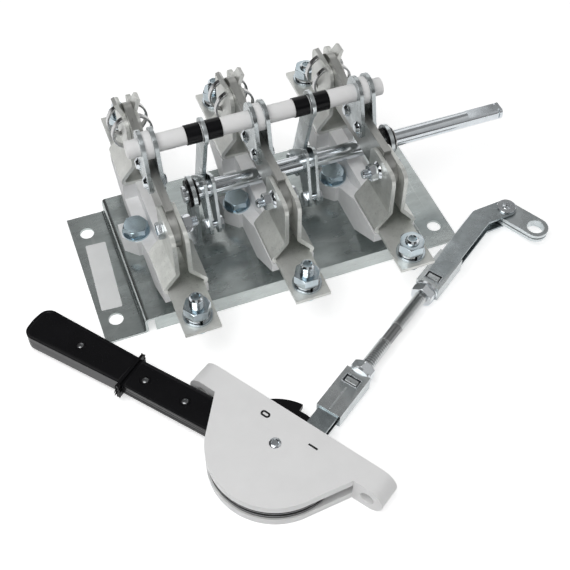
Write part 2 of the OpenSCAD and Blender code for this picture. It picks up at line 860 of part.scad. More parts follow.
// Spacers between the two cheeks of each knife
module spacer_rings() {
    color("white") at_poles() at_axis(bar) rotate([0, 90, 0]) translate([0, 0, -blade_t / 2])
        ring(2 * (cheek_r - ring_inset), bar_d + 2 * run_play, blade_t);
}

sleeve_wall = 0.6;

// Black sleeves that keep the links in place along the bar
module bar_sleeves() {
    color("black") for (sx = sides, s = sides)
        at_axis(bar) translate([sx * link_x + s * (link_t / 2 + link_gap + sleeve_len / 2), 0, 0])
            rotate([0, 90, 0]) translate([0, 0, -sleeve_len / 2])
                ring(bar_d + 2 * (run_play + sleeve_wall), bar_d + 2 * run_play, sleeve_len);
}

// Links, shaft and cranks

link_slot_r = crank_pin_d / 2 + link_play;

// A plate on the crossbar whose lower end is slotted for the crank pin
module drive_link(side) {
    color("silver") side_plate(side * link_x - link_t / 2, link_t) difference() {
        union() {
            translate(bar) circle(bar_d / 2 + link_eye_wall);
            tangent_web(bar, link_w / 2, slot_end, link_w / 2);
            tapered_bar(crank_pin, link_slot_r + slot_wall, slot_end, link_slot_r + slot_wall);
        }
        translate(bar) circle(d = bar_d + 2 * run_play);
        tapered_bar(crank_pin, link_slot_r, slot_end, link_slot_r);
    }
}

module drive_link_left() { drive_link(-1); }
module drive_link_right() { drive_link(1); }

groove_w = 1.5;
groove_d = 1;
groove_inset = 4;

// Round shaft with two flats at its free end, and grooves for retaining rings
module drive_shaft() {
    grooves = [bracket_xs[1] + bracket_t / 2 + collar_gap + collar_t, shaft_x1 - groove_inset];
    color("lightgray") at_axis(shaft) difference() {
        x_rod(shaft_x0, shaft_x1 - shaft_x0, shaft_d);
        for (s = sides)
            translate([shaft_x1 - flat_len, -shaft_d, s * (flat_w + shaft_d) / 2 - shaft_d / 2])
                cube([flat_len + over, 2 * shaft_d, shaft_d]);
        for (x = grooves) translate([x, 0, 0]) rotate([0, 90, 0])
            ring(2 * shaft_d, shaft_d - 2 * groove_d, groove_w);
    }
}

crank_hub_r = shaft_d / 2 + lobe_wall;
crank_lobe_r = crank_pin_d / 2 + lobe_wall;
tail_lobe_r = 7;
horn_r = 5;
horn = shaft + polar(11.5, 110);

// A pair of plates on the shaft, with the crank pin behind, a clamped tail below and a horn on top
module shaft_crank(side) {
    color("silver") for (s = sides)
        side_plate(side * link_x + s * (crank_face + crank_t / 2) - crank_t / 2, crank_t) difference() {
            union() {
                translate(shaft) circle(crank_hub_r);
                for (end = [[crank_pin, crank_lobe_r], [tail, tail_lobe_r], [horn, horn_r]]) {
                    translate(end[0]) circle(end[1]);
                    tangent_web(shaft, crank_hub_r, end[0], end[1]);
                }
            }
            translate(shaft) circle(d = shaft_d + 2 * run_play);
            for (p = [crank_pin, tail]) translate(p) circle(d = crank_pin_d + 2 * run_play);
        }
}

module shaft_crank_left() { shaft_crank(-1); }
module shaft_crank_right() { shaft_crank(1); }

// Headed pins through both plates of each crank: the link pin and the tail bolt
module crank_pins() {
    half = crank_face + crank_t;
    head = crank_pin_d / 2;
    head_af = 1.6 * crank_pin_d;
    color("lightsteelblue") for (side = sides, p = [crank_pin, tail])
        translate([side * link_x, 0, 0]) at_axis(p) {
            x_rod(-half - eps, 2 * (half + eps), crank_pin_d);
            translate([half, 0, 0]) rotate([0, 90, 0]) hex_block(head_af, head);
            translate([-half - head, 0, 0]) rotate([0, 90, 0]) hex_block(head_af, head);
        }
}

// Thrust rings on both sides of each bracket
module shaft_collars() {
    away = (bracket_t + collar_t) / 2 + collar_gap;
    color("black") for (x = bracket_xs, s = sides)
        at_axis(shaft) translate([x + s * away - collar_t / 2, 0, 0]) rotate([0, 90, 0])
            ring(collar_d, shaft_d + 2 * run_play, collar_t);
}

// Drive housing

module on_pivot(a) {
    translate([pivot[0], pivot[1], 0]) rotate(a) children();
}

// Plan of the housing: a round side blended into the straight one by tangents
module housing_plan() {
    inner = edge_dist - ear_d;
    touch = tangent_from([inner, ear_from], housing_r);
    intersection() {
        circle(housing_r);
        translate([edge_dist - 3 * housing_r, -2 * housing_r]) square([3 * housing_r, 4 * housing_r]);
    }
    polygon([[edge_dist, -ear_from], [edge_dist, ear_from], [inner, ear_from],
        polar(housing_r - web_inset, touch), polar(housing_r - web_inset, -touch), [inner, -ear_from]]);
}

ear_steps = 24;

// A mounting ear as high as the housing, rounded about the hole through it
module ear_block(side) {
    r = housing_h / 2;
    side_plate(edge_dist - ear_d, ear_d) polygon([[side * ear_from, 0],
        for (i = [0 : ear_steps]) let (a = 180 * i / ear_steps)
            [side * (ear_at + r * sin(a)), r - r * cos(a)],
        [side * ear_from, housing_h]]);
}

// One of the two flat shells, its underside at the given height
module housing_shell(z) {
    color("white") on_pivot(housing_a) difference() {
        translate([0, 0, z]) linear_extrude(shell_t) housing_plan();
        translate([0, 0, z - over]) cylinder(h = shell_t + 2 * over, d = pivot_d + 2 * run_play);
    }
}

module housing_lower() {
    housing_shell(0);
}

module housing_upper() {
    housing_shell(shell_t + slot_h);
}

// Drilled ears that hold the two shells apart
module housing_ears() {
    color("white") on_pivot(housing_a) for (side = sides) difference() {
        ear_block(side);
        translate([0, side * ear_at, mid_z]) x_rod(edge_dist - ear_d - over, ear_d + 2 * over, ear_hole_d);
    }
}

// Pin through both shells, its head standing just proud of the top
module pivot_pin() {
    proud = 1;
    color("gray") on_pivot(housing_a) cylinder(h = housing_h + proud, d = pivot_d);
}

// Rotor and lever

shoulder_from = 8;
rim_from = 124;
rim_end = 254;
rim_depth = 13;
rim_overlap = 10;
rim_groove = 1;

// Disc with a shoulder under the lever and a thick grooved rim on the round side of the housing
module rotor_disc() {
    color("dimgray") translate([0, 0, mid_z]) difference() {
        union() {
            on_pivot(0) cylinder(h = rotor_t, r = rotor_r, center = true);
            on_pivot(housing_a + shoulder_from) rotate_extrude(angle = rim_from + rim_overlap - shoulder_from)
                translate([0, -rotor_t / 2]) square([shoulder_r, rotor_t]);
            on_pivot(housing_a + rim_from) rotate_extrude(angle = rim_end - rim_from)
                translate([rim_r - rim_depth, -rim_t / 2]) square([rim_depth, rim_t]);
        }
        on_pivot(0) translate([0, 0, -rim_groove / 2])
            ring(3 * rim_r, 2 * rim_r - 4 * rim_groove, rim_groove);
        on_pivot(0) cylinder(h = 2 * rim_t, d = pivot_d + 2 * run_play, center = true);
        translate(clevis_pin) cylinder(h = 2 * rim_t, d = clevis_pin_d + 2 * run_play, center = true);
    }
}

// The neck starts this far inside the rotor's edge
neck_overlap = 4;
neck_inner = rotor_r - neck_overlap;

// Flat neck, forked over the rotor's shoulder
module lever_neck() {
    color("black") difference() {
        on_pivot(lever_a) translate([neck_inner, -neck_w / 2, mid_z - lever_t / 2])
            cube([grip_start - neck_inner, neck_w, lever_t]);
        on_pivot(0) translate([0, 0, mid_z - rotor_t / 2])
            cylinder(h = rotor_t, r = shoulder_r + run_play);
    }
}

// Grip that widens to a round end, with a collar where it meets the neck
module lever_grip() {
    color("black") on_pivot(lever_a) {
        translate([grip_start, -collar_w / 2, mid_z - collar_h / 2]) cube([collar_len, collar_w, collar_h]);
        translate([0, 0, mid_z - grip_t / 2]) linear_extrude(grip_t) {
            polygon([[grip_start, -neck_w / 2], [lever_len - grip_r, -grip_w / 2],
                [lever_len - grip_r, grip_w / 2], [grip_start, neck_w / 2]]);
            translate([lever_len - 2 * grip_r, grip_r - grip_w / 2])
                square([2 * grip_r, grip_w - 2 * grip_r]);
            for (s = sides) translate([lever_len - grip_r, s * (grip_w / 2 - grip_r)]) circle(grip_r);
        }
    }
}

// Rod assembly

module on_rod() {
    translate([clevis_pin[0], clevis_pin[1], mid_z]) rotate(rod_a) children();
}

// Pin riveted through the rotor and both tongues of the clevis
module clevis_pin() {
    color("gray") translate([clevis_pin[0], clevis_pin[1], mid_z - tongue_h / 2])
        cylinder(h = tongue_h, d = clevis_pin_d);
}

key_size = [6, 11];
key_play = 0.15;
key_inset = 9;

// A folded channel along X from the origin: two plates held apart by side walls, an end wall that
// the rod passes through and a window over the key on the rod. Children extend the plates in plan.
module rod_channel(length, wall_x, key_x) {
    half = channel_h / 2;
    window = key_size + 2 * key_play * [1, 1];
    difference() {
        union() {
            for (s = sides) translate([0, 0, s * (half - channel_t / 2) - channel_t / 2])
                linear_extrude(channel_t) difference() {
                    union() {
                        translate([0, -channel_w / 2]) square([length, channel_w]);
                        children();
                    }
                    if (s > 0) translate([key_x, 0] - window / 2) square(window);
                }
            for (s = sides) translate([0, s * (channel_w - channel_t) / 2 - channel_t / 2, -half])
                cube([length, channel_t, channel_h]);
            translate([wall_x, -channel_w / 2, -half]) cube([channel_t, channel_w, channel_h]);
        }
        x_rod(wall_x - over, channel_t + 2 * over, rod_d + 2 * run_play);
    }
}

// Channel whose two plates step in to tongues that straddle the rotor
module rod_clevis() {
    step = (channel_h - tongue_h) / 2 + channel_t;
    color("silver") on_rod() difference() {
        union() {
            translate([tongue_len, 0, 0])
                rod_channel(clevis_len, clevis_len - channel_t, clevis_len - key_inset);
            for (s = sides) {
                translate([0, 0, s * (tongue_z + channel_t / 2) - channel_t / 2]) linear_extrude(channel_t) {
                    circle(d = tongue_w);
                    translate([0, -tongue_w / 2]) square([tongue_len + channel_t, tongue_w]);
                }
                translate([tongue_len, -tongue_w / 2, s * (tongue_z + step / 2) - step / 2])
                    cube([channel_t, tongue_w, step]);
            }
        }
        translate([0, 0, -slot_h]) cylinder(h = 2 * slot_h, d = clevis_pin_d + 2 * run_play);
    }
}

// Channel whose two plates run on as bent arms to the fork pin
module rod_fork() {
    elbow = [fork_elbow, 0];
    tip = elbow + polar(fork_tip, fork_bend);
    color("silver") on_rod() translate([fork_start, 0, 0]) difference() {
        rod_channel(fork_box, 0, key_inset) {
            translate([0, -arm_w / 2]) square([fork_elbow, arm_w]);
            tapered_bar(elbow, arm_w / 2, tip, arm_w / 2);
        }
        translate([tip[0], tip[1], -channel_h])
            cylinder(h = 2 * channel_h, d = fork_pin_d + 2 * run_play);
    }
}

// Keys across the clevis and fork, their tops filling the windows
module rod_keys() {
    color("gray") on_rod() for (x = [fork_start - rod_span - key_inset, fork_start + key_inset])
        translate([x - key_size[0] / 2, -key_size[1] / 2, channel_t - channel_h / 2])
            cube([key_size[0], key_size[1], channel_h - channel_t]);
}

// Rod from wall to wall of clevis and fork, necked down near the clevis
module threaded_rod() {
    start = tongue_len + clevis_len;
    color("lightgray") on_rod() difference() {
        x_rod(start - channel_t, rod_span + 2 * channel_t, rod_d);
        translate([start + rod_neck_at, 0, 0]) rotate([0, 90, 0]) ring(2 * rod_d, rod_neck_d, rod_neck_len);
    }
}

rod_flange_t = 2;

// Flanged lock nuts outside both end walls
module rod_nuts() {
    color("gray") on_rod() for (end = [[tongue_len + clevis_len, 1], [fork_start, -1]])
        translate([end[0], 0, 0]) rotate([0, 90 * end[1], 0]) {
            ring(rod_flange_d, rod_d + 2 * run_play, rod_flange_t);
            translate([0, 0, rod_flange_t]) nut(rod_nut_af, rod_nut_h, rod_d);
        }
}

pin_head_d = 2.1 * fork_pin_d;
pin_head_h = 2;

// Headed pin with a washer end above the fork
module fork_pin() {
    color("lightgray") translate([fork_pin[0], fork_pin[1], mid_z]) {
        cylinder(h = channel_h + 2 * eps, d = fork_pin_d, center = true);
        translate([0, 0, channel_h / 2]) cylinder(h = pin_head_h, d = pin_head_d);
        translate([0, 0, -channel_h / 2 - pin_head_h]) cylinder(h = pin_head_h, d = pin_head_d);
    }
}

crank_plate_gap = 1;
bush_inset = 2;

// Two stacked plates from the fork pin to the hole for the shaft, joined by a bush at the pin
module drive_crank() {
    bush = 2 * crank_plate_t + crank_plate_gap;
    far = polar(crank_len, crank_dir);
    color("silver") translate([fork_pin[0], fork_pin[1], mid_z]) difference() {
        union() {
            for (s = sides)
                translate([0, 0, s * (crank_plate_t + crank_plate_gap) / 2 - crank_plate_t / 2])
                    linear_extrude(crank_plate_t) tapered_bar([0, 0], crank_end_r, far, crank_end_r);
            for (p = [[0, 0], far]) translate([p[0], p[1], -bush / 2])
                cylinder(h = bush, r = crank_end_r - bush_inset);
        }
        translate([0, 0, -bush]) cylinder(h = 2 * bush, d = fork_pin_d + 2 * run_play);
        translate([far[0], far[1], -bush]) cylinder(h = 2 * bush, d = shaft_d + 2 * run_play);
    }
}

base_plate();
for (i = [0 : len(poles) - 1]) {
    insulator(i);
    front_contact(i);
    rear_contact(i);
    knife_blade(i);
}
jaw_springs();
hinge_bolts();
hinge_washers();
hinge_nuts();
terminal_bolts();
terminal_washers();
spring_washers();
terminal_nuts();
anchor_bolts();
anchor_nuts();
bearing_bracket_left();
bearing_bracket_right();
blade_cheeks();
blade_rivets();
crossbar();
spacer_rings();
bar_sleeves();
drive_link_left();
drive_link_right();
drive_shaft();
shaft_crank_left();
shaft_crank_right();
crank_pins();
shaft_collars();
housing_lower();
housing_upper();
housing_ears();
pivot_pin();
rotor_disc();
lever_neck();
lever_grip();
clevis_pin();
rod_clevis();
threaded_rod();
rod_nuts();
rod_keys();
rod_fork();
fork_pin();
drive_crank();
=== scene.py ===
"""Looks of a three-pole knife switch and its lever drive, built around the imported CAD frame.

Lengths are millimetres in the part's own frame: X along the drive shaft, Y to the back, Z up.
"""

import logging
import math
from dataclasses import dataclass, replace
from enum import Enum

import bmesh
import bpy
from mathutils import Matrix, Vector


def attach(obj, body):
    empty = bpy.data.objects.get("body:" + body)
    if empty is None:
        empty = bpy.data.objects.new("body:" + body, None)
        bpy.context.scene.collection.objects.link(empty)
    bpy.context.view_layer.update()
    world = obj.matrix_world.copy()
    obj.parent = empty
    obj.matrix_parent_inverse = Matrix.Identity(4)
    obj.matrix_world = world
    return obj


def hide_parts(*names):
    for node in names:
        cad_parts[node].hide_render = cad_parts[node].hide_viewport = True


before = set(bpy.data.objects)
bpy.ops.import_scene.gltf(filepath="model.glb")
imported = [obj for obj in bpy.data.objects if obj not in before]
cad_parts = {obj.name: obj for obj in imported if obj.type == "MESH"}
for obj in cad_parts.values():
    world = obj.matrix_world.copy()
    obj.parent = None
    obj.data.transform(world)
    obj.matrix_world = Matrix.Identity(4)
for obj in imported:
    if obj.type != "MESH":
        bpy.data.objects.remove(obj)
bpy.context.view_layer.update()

MM = 0.001
MERGE_DISTANCE = 0.002
FLAT_ANGLE = 0.8
SMOOTH_ANGLE = 40.0
BEND_AREA = 400.0
HEX_CUT = 0.09
HEX_ROUNDING = 0.25
SPECK_SIZE = 1.6
NOISE_MIDDLE = (0.3, 0.7)
SPECK_RANGE = (0.60, 0.70)
RIDGE_RANGE = (0.51, 0.58)
CREVICE_RANGE = (0.40, 0.49)
Vec3 = tuple[float, float, float]
Outline = list[tuple[float, float]]
LOG = logging.getLogger("switch")


class Body(Enum):
    """The rigid bodies that pieces ride on."""

    BASE = "switch_base"
    KNIVES = "knife_set"
    LINKS = "link_pair"
    SHAFT = "shaft_set"
    LEVER = "lever_set"
    ROD = "rod_set"
    CRANK = "crank_arm"


class Pole(Enum):
    """The poles, by their place along X."""

    LEFT = -80.0
    MIDDLE = 0.0
    RIGHT = 80.0


class Graph:
    """A material's node tree, with short calls to add and join nodes."""

    def __init__(self, name: str) -> None:
        """Start a new material with one Principled shader.

        Args:
            name: Name of the material.
        """
        self.material = bpy.data.materials.new(name)
        self.material.use_nodes = True
        self.tree = self.material.node_tree
        self.shader = self.tree.nodes["Principled BSDF"]

    def node(self, kind: str, **inputs: object) -> bpy.types.Node:
        """Add a node and set its named inputs.

        Args:
            kind: Blender's type name of the node.
            **inputs: Values by input name, with _ for a space.

        Returns:
            The new node.
        """
        made = self.tree.nodes.new(kind)
        for key, value in inputs.items():
            made.inputs[key.replace("_", " ")].default_value = value
        return made

    def link(self, source: bpy.types.NodeSocket, target: bpy.types.NodeSocket) -> None:
        """Join an output to an input."""
        self.tree.links.new(source, target)

    def noise(self, where: bpy.types.NodeSocket, size: float, detail: float) -> bpy.types.NodeSocket:
        """Add a noise pattern.

        Args:
            where: Coordinates to read.
            size: Size of the pattern in millimetres.
            detail: Number of finer layers.

        Returns:
            The pattern's value socket.
        """
        made = self.node("ShaderNodeTexNoise", Scale=1.0 / (size * MM), Detail=detail, Roughness=0.6)
        self.link(where, made.inputs["Vector"])
        return made.outputs["Fac"]

    def ranged(self, value: bpy.types.NodeSocket, source: tuple[float, float],
               target: tuple[float, float]) -> bpy.types.NodeSocket:
        """Map a value from one range to another, clamped.

        Args:
            value: Socket to map.
            source: Range that is read.
            target: Range that comes out.

        Returns:
            The mapped value's socket.
        """
        made = self.node("ShaderNodeMapRange", From_Min=source[0], From_Max=source[1],
                         To_Min=target[0], To_Max=target[1])
        self.link(value, made.inputs["Value"])
        return made.outputs["Result"]

    def combine(self, kind: str, one: bpy.types.NodeSocket, other: bpy.types.NodeSocket) -> bpy.types.NodeSocket:
        """Combine two values by a Math node.

        Args:
            kind: Blender's name of the operation.
            one: First value's socket.
            other: Second value's socket.

        Returns:
            The result's socket.
        """
        made = self.node("ShaderNodeMath")
        made.operation = kind
        self.link(one, made.inputs[0])
        self.link(other, made.inputs[1])
        return made.outputs[0]


@dataclass(frozen=True)
class Finish:
    """One surface finish, made as a procedural material.

    Attributes:
        name: Name of the material.
        slot: The record's material slot; not used.
        colour: Base colour, linear.
        metallic: 1 for bare or plated metal.
        roughness: Middle of the roughness.
        spread: How far the roughness strays to either side.
        mottle: How far the brightness strays to either side.
        mottle_size: Size of the clouds in the colour.
        stretch: Scale of the patterns along X, Y and Z; below 1 draws them out.
        grain: Height of the fine bump in millimetres.
        grain_size: Size of the fine bump.
        edge_wear_and_highlight: Share of the bright edge colour on edges, partly edge wear and partly a painted
            highlight.
        edge: Colour of the worn edges and of the painted edge highlights.
        sheen: Strength of the reflection of a surface that isn't metal.
        specks: How much darker small specks are.
        painted_crevice_shade: How much darker inner corners are painted, as painted shade in creases and thread
            roots.
    """

    name: str
    slot: str
    colour: Vec3
    metallic: float = 0.0
    roughness: float = 0.5
    spread: float = 0.08
    mottle: float = 0.06
    mottle_size: float = 14.0
    stretch: Vec3 = (1.0, 1.0, 1.0)
    grain: float = 0.02
    grain_size: float = 0.6
    edge_wear_and_highlight: float = 0.0
    edge: Vec3 = (0.8, 0.8, 0.8)
    sheen: float = 0.5
    specks: float = 0.0
    painted_crevice_shade: float = 0.0

    def material(self) -> bpy.types.Material:
        """Return the material, made on first use."""
        known = bpy.data.materials.get(self.name)
        return known if known else self._make()

    def _make(self) -> bpy.types.Material:
        """Build the node tree.

        Returns:
            The new material.
        """
        graph = Graph(self.name)
        shader = graph.shader.inputs
        shader["Metallic"].default_value = self.metallic
        shader["Specular IOR Level"].default_value = self.sheen
        place = graph.node("ShaderNodeMapping", Scale=self.stretch)
        graph.link(graph.node("ShaderNodeTexCoord").outputs["Object"], place.inputs["Vector"])
        where = place.outputs["Vector"]
        clouds = graph.noise(where, self.mottle_size, 4.0)
        shade = graph.ranged(clouds, NOISE_MIDDLE, (1.0 - self.mottle, 1.0 + self.mottle))
        if self.specks:
            spots = graph.ranged(graph.noise(where, SPECK_SIZE, 3.0), SPECK_RANGE, (1.0, 1.0 - self.specks))
            shade = graph.combine("MULTIPLY", shade, spots)
        # Painted shade: creases and thread roots are darkened by pointiness, standing in for occlusion.
        if self.painted_crevice_shade:
            bend = graph.node("ShaderNodeNewGeometry").outputs["Pointiness"]
            shade = graph.combine("MULTIPLY", shade, graph.ranged(bend, CREVICE_RANGE, (1.0 - self.painted_crevice_shade, 1.0)))
        tint = graph.node("ShaderNodeVectorMath")
        tint.operation = "SCALE"
        tint.inputs[0].default_value = self.colour
        graph.link(shade, tint.inputs["Scale"])
        colour = tint.outputs["Vector"]
        # Edge colour on ridges: partly edge wear, partly a painted highlight where edges catch light.
        if self.edge_wear_and_highlight:
            colour = self._worn_and_lit_edges(graph, colour)
        graph.link(colour, shader["Base Color"])
        patches = graph.noise(where, 2.5 * self.mottle_size, 3.0)
        rough = graph.ranged(patches, NOISE_MIDDLE, (self.roughness - self.spread, self.roughness + self.spread))
        graph.link(rough, shader["Roughness"])
        bump = graph.node("ShaderNodeBump", Strength=1.0, Distance=self.grain * MM)
        graph.link(graph.noise(where, self.grain_size, 2.0), bump.inputs["Height"])
        graph.link(bump.outputs["Normal"], shader["Normal"])
        return graph.material

    def _worn_and_lit_edges(self, graph: Graph, colour: bpy.types.NodeSocket) -> bpy.types.NodeSocket:
        """Lay the edge colour over the ridges of the mesh, as edge wear and a painted highlight.

        Args:
            graph: The material's node tree.
            colour: Colour without wear.

        Returns:
            The socket of the colour with worn edges and painted edge highlights.
        """
        bend = graph.node("ShaderNodeNewGeometry").outputs["Pointiness"]
        ridge = graph.ranged(bend, RIDGE_RANGE, (0.0, self.edge_wear_and_highlight))
        mix = graph.node("ShaderNodeMix")
        mix.data_type = "RGBA"
        for socket in mix.inputs:
            if socket.type == "RGBA" and socket.name == "A":
                graph.link(colour, socket)
            elif socket.type == "RGBA" and socket.name == "B":
                socket.default_value = (*self.edge, 1.0)
            elif socket.type == "VALUE" and socket.name == "Factor":
                graph.link(ridge, socket)
        return next(s for s in mix.outputs if s.type == "RGBA")


GALVANISED = Finish("galvanised sheet", "zinc_sheet", (0.38, 0.42, 0.415), metallic=1.0, roughness=0.27,
                    spread=0.07, mottle=0.14, mottle_size=7.0, stretch=(0.35, 1.0, 1.0), grain=0.004,
                    grain_size=1.2, edge_wear_and_highlight=0.4, edge=(0.60, 0.62, 0.61), specks=0.2)
MOULDED = Finish("moulded resin", "moulded_grey", (0.84, 0.845, 0.85), roughness=0.48, spread=0.06, mottle=0.05,
                 mottle_size=7.0, grain=0.03, grain_size=0.5, edge_wear_and_highlight=0.2, edge=(0.84, 0.84, 0.84))
TINNED = Finish("tinned contact sheet", "tinned_sheet", (0.60, 0.62, 0.585), metallic=0.6, roughness=0.40,
                spread=0.08, mottle=0.14, mottle_size=6.0, grain=0.008, grain_size=0.7, edge_wear_and_highlight=0.6,
                edge=(0.80, 0.80, 0.78), specks=0.35)
BLADE = Finish("tinned blade", "blade_metal", (0.30, 0.305, 0.29), metallic=0.9, roughness=0.38, spread=0.08,
               mottle=0.2, mottle_size=6.0, stretch=(1.0, 0.35, 1.0), grain=0.008, grain_size=0.8, edge_wear_and_highlight=0.5,
               edge=(0.66, 0.66, 0.64), specks=0.45)
PLATED = Finish("zinc-plated sheet", "plated_sheet", (0.54, 0.585, 0.60), metallic=1.0, roughness=0.28,
                spread=0.08, mottle=0.09, mottle_size=7.0, grain=0.005, grain_size=0.8, edge_wear_and_highlight=0.5,
                edge=(0.78, 0.80, 0.80))
DULL = replace(PLATED, name="dull plated strip", colour=(0.335, 0.375, 0.39), roughness=0.27, mottle=0.16,
               mottle_size=5.0, edge_wear_and_highlight=0.6, edge=(0.74, 0.76, 0.76), specks=0.2)
BRIGHT = Finish("bright zinc", "bright_zinc", (0.62, 0.66, 0.69), metallic=1.0, roughness=0.15, spread=0.05,
                mottle=0.06, mottle_size=5.0, grain=0.002, grain_size=0.5, edge_wear_and_highlight=0.25, edge=(0.84, 0.85, 0.86))
# ZINC and THREAD paint shade into their thread roots and inner corners.
ZINC = replace(BRIGHT, name="grey-blue zinc", colour=(0.37, 0.45, 0.49), mottle=0.08, mottle_size=4.0, edge_wear_and_highlight=0.6,
               edge=(0.84, 0.86, 0.88), painted_crevice_shade=0.8)
THREAD = replace(ZINC, name="grey thread", colour=(0.46, 0.475, 0.48), roughness=0.20, mottle=0.10, edge_wear_and_highlight=0.8,
                 edge=(0.68, 0.69, 0.69), painted_crevice_shade=0.9)
LOCKNUT = replace(ZINC, name="dark zinc", colour=(0.31, 0.35, 0.37), roughness=0.18, mottle=0.10, painted_crevice_shade=0.0)
BLUE = Finish("blue zinc", "blue_zinc", (0.32, 0.48, 0.57), metallic=1.0, roughness=0.22, spread=0.06, mottle=0.12,
              mottle_size=4.0, grain=0.003, grain_size=0.5, edge_wear_and_highlight=0.6, edge=(0.70, 0.78, 0.83))
SPRING = Finish("spring steel", "spring_steel", (0.50, 0.50, 0.50), metallic=1.0, roughness=0.26, spread=0.06,
                mottle=0.06, mottle_size=4.0, grain=0.003, grain_size=0.5, edge_wear_and_highlight=0.4)
WHITE = Finish("white plastic", "white_plastic", (0.88, 0.88, 0.88), roughness=0.36, spread=0.05, mottle=0.02,
               mottle_size=20.0, grain=0.006, grain_size=0.8)
BLACK = Finish("black plastic", "black_plastic", (0.005, 0.005, 0.006), roughness=0.22, spread=0.05, mottle=0.15,
               mottle_size=12.0, grain=0.004, grain_size=0.7, sheen=0.16)
# The lever's light edge lines are partly a painted highlight along its rims.
GRIP = replace(BLACK, name="black plastic with worn and lit edges", edge_wear_and_highlight=0.3, edge=(0.26, 0.26, 0.27))
INK = replace(BLACK, name="black ink", colour=(0.01, 0.01, 0.011), roughness=0.45, mottle=0.05, grain=0.002,
              sheen=0.2)
GUNMETAL = Finish("dark steel", "spring_steel", (0.16, 0.165, 0.17), metallic=1.0, roughness=0.24, spread=0.05,
                  mottle=0.08, mottle_size=4.0, grain=0.002, grain_size=0.5, edge_wear_and_highlight=0.3, edge=(0.5, 0.5, 0.5))
STICKER = Finish("blank sticker", "white_plastic", (0.86, 0.87, 0.87), roughness=0.42, spread=0.04, mottle=0.03,
                 mottle_size=16.0, grain=0.003, grain_size=1.0)


def facing(origin: Vec3 | Vector, direction: Vec3 | Vector) -> Matrix:
    """Return a placing whose Z runs along a direction.

    Args:
        origin: Where the local origin goes.
        direction: Where the local Z points.

    Returns:
        The placing matrix.
    """
    turn = Vector(direction).to_track_quat("Z", "Y").to_matrix().to_4x4()
    return Matrix.Translation(origin) @ turn


def placed(origin: Vec3, turn: float) -> Matrix:
    """Return a placing turned about Z.

    Args:
        origin: Where the local origin goes.
        turn: Turn in degrees.

    Returns:
        The placing matrix.
    """
    return Matrix.Translation(origin) @ Matrix.Rotation(math.radians(turn), 4, "Z")


def band(radii: tuple[float, float], low: float, thick: float) -> Outline:
    """Return the closed outline of a flat ring.

    Args:
        radii: Inner and outer radius.
        low: Height of its underside.
        thick: Its thickness.

    Returns:
        Points as radius and height.
    """
    inner, outer = radii
    return [(inner, low), (outer, low), (outer, low + thick), (inner, low + thick), (inner, low)]


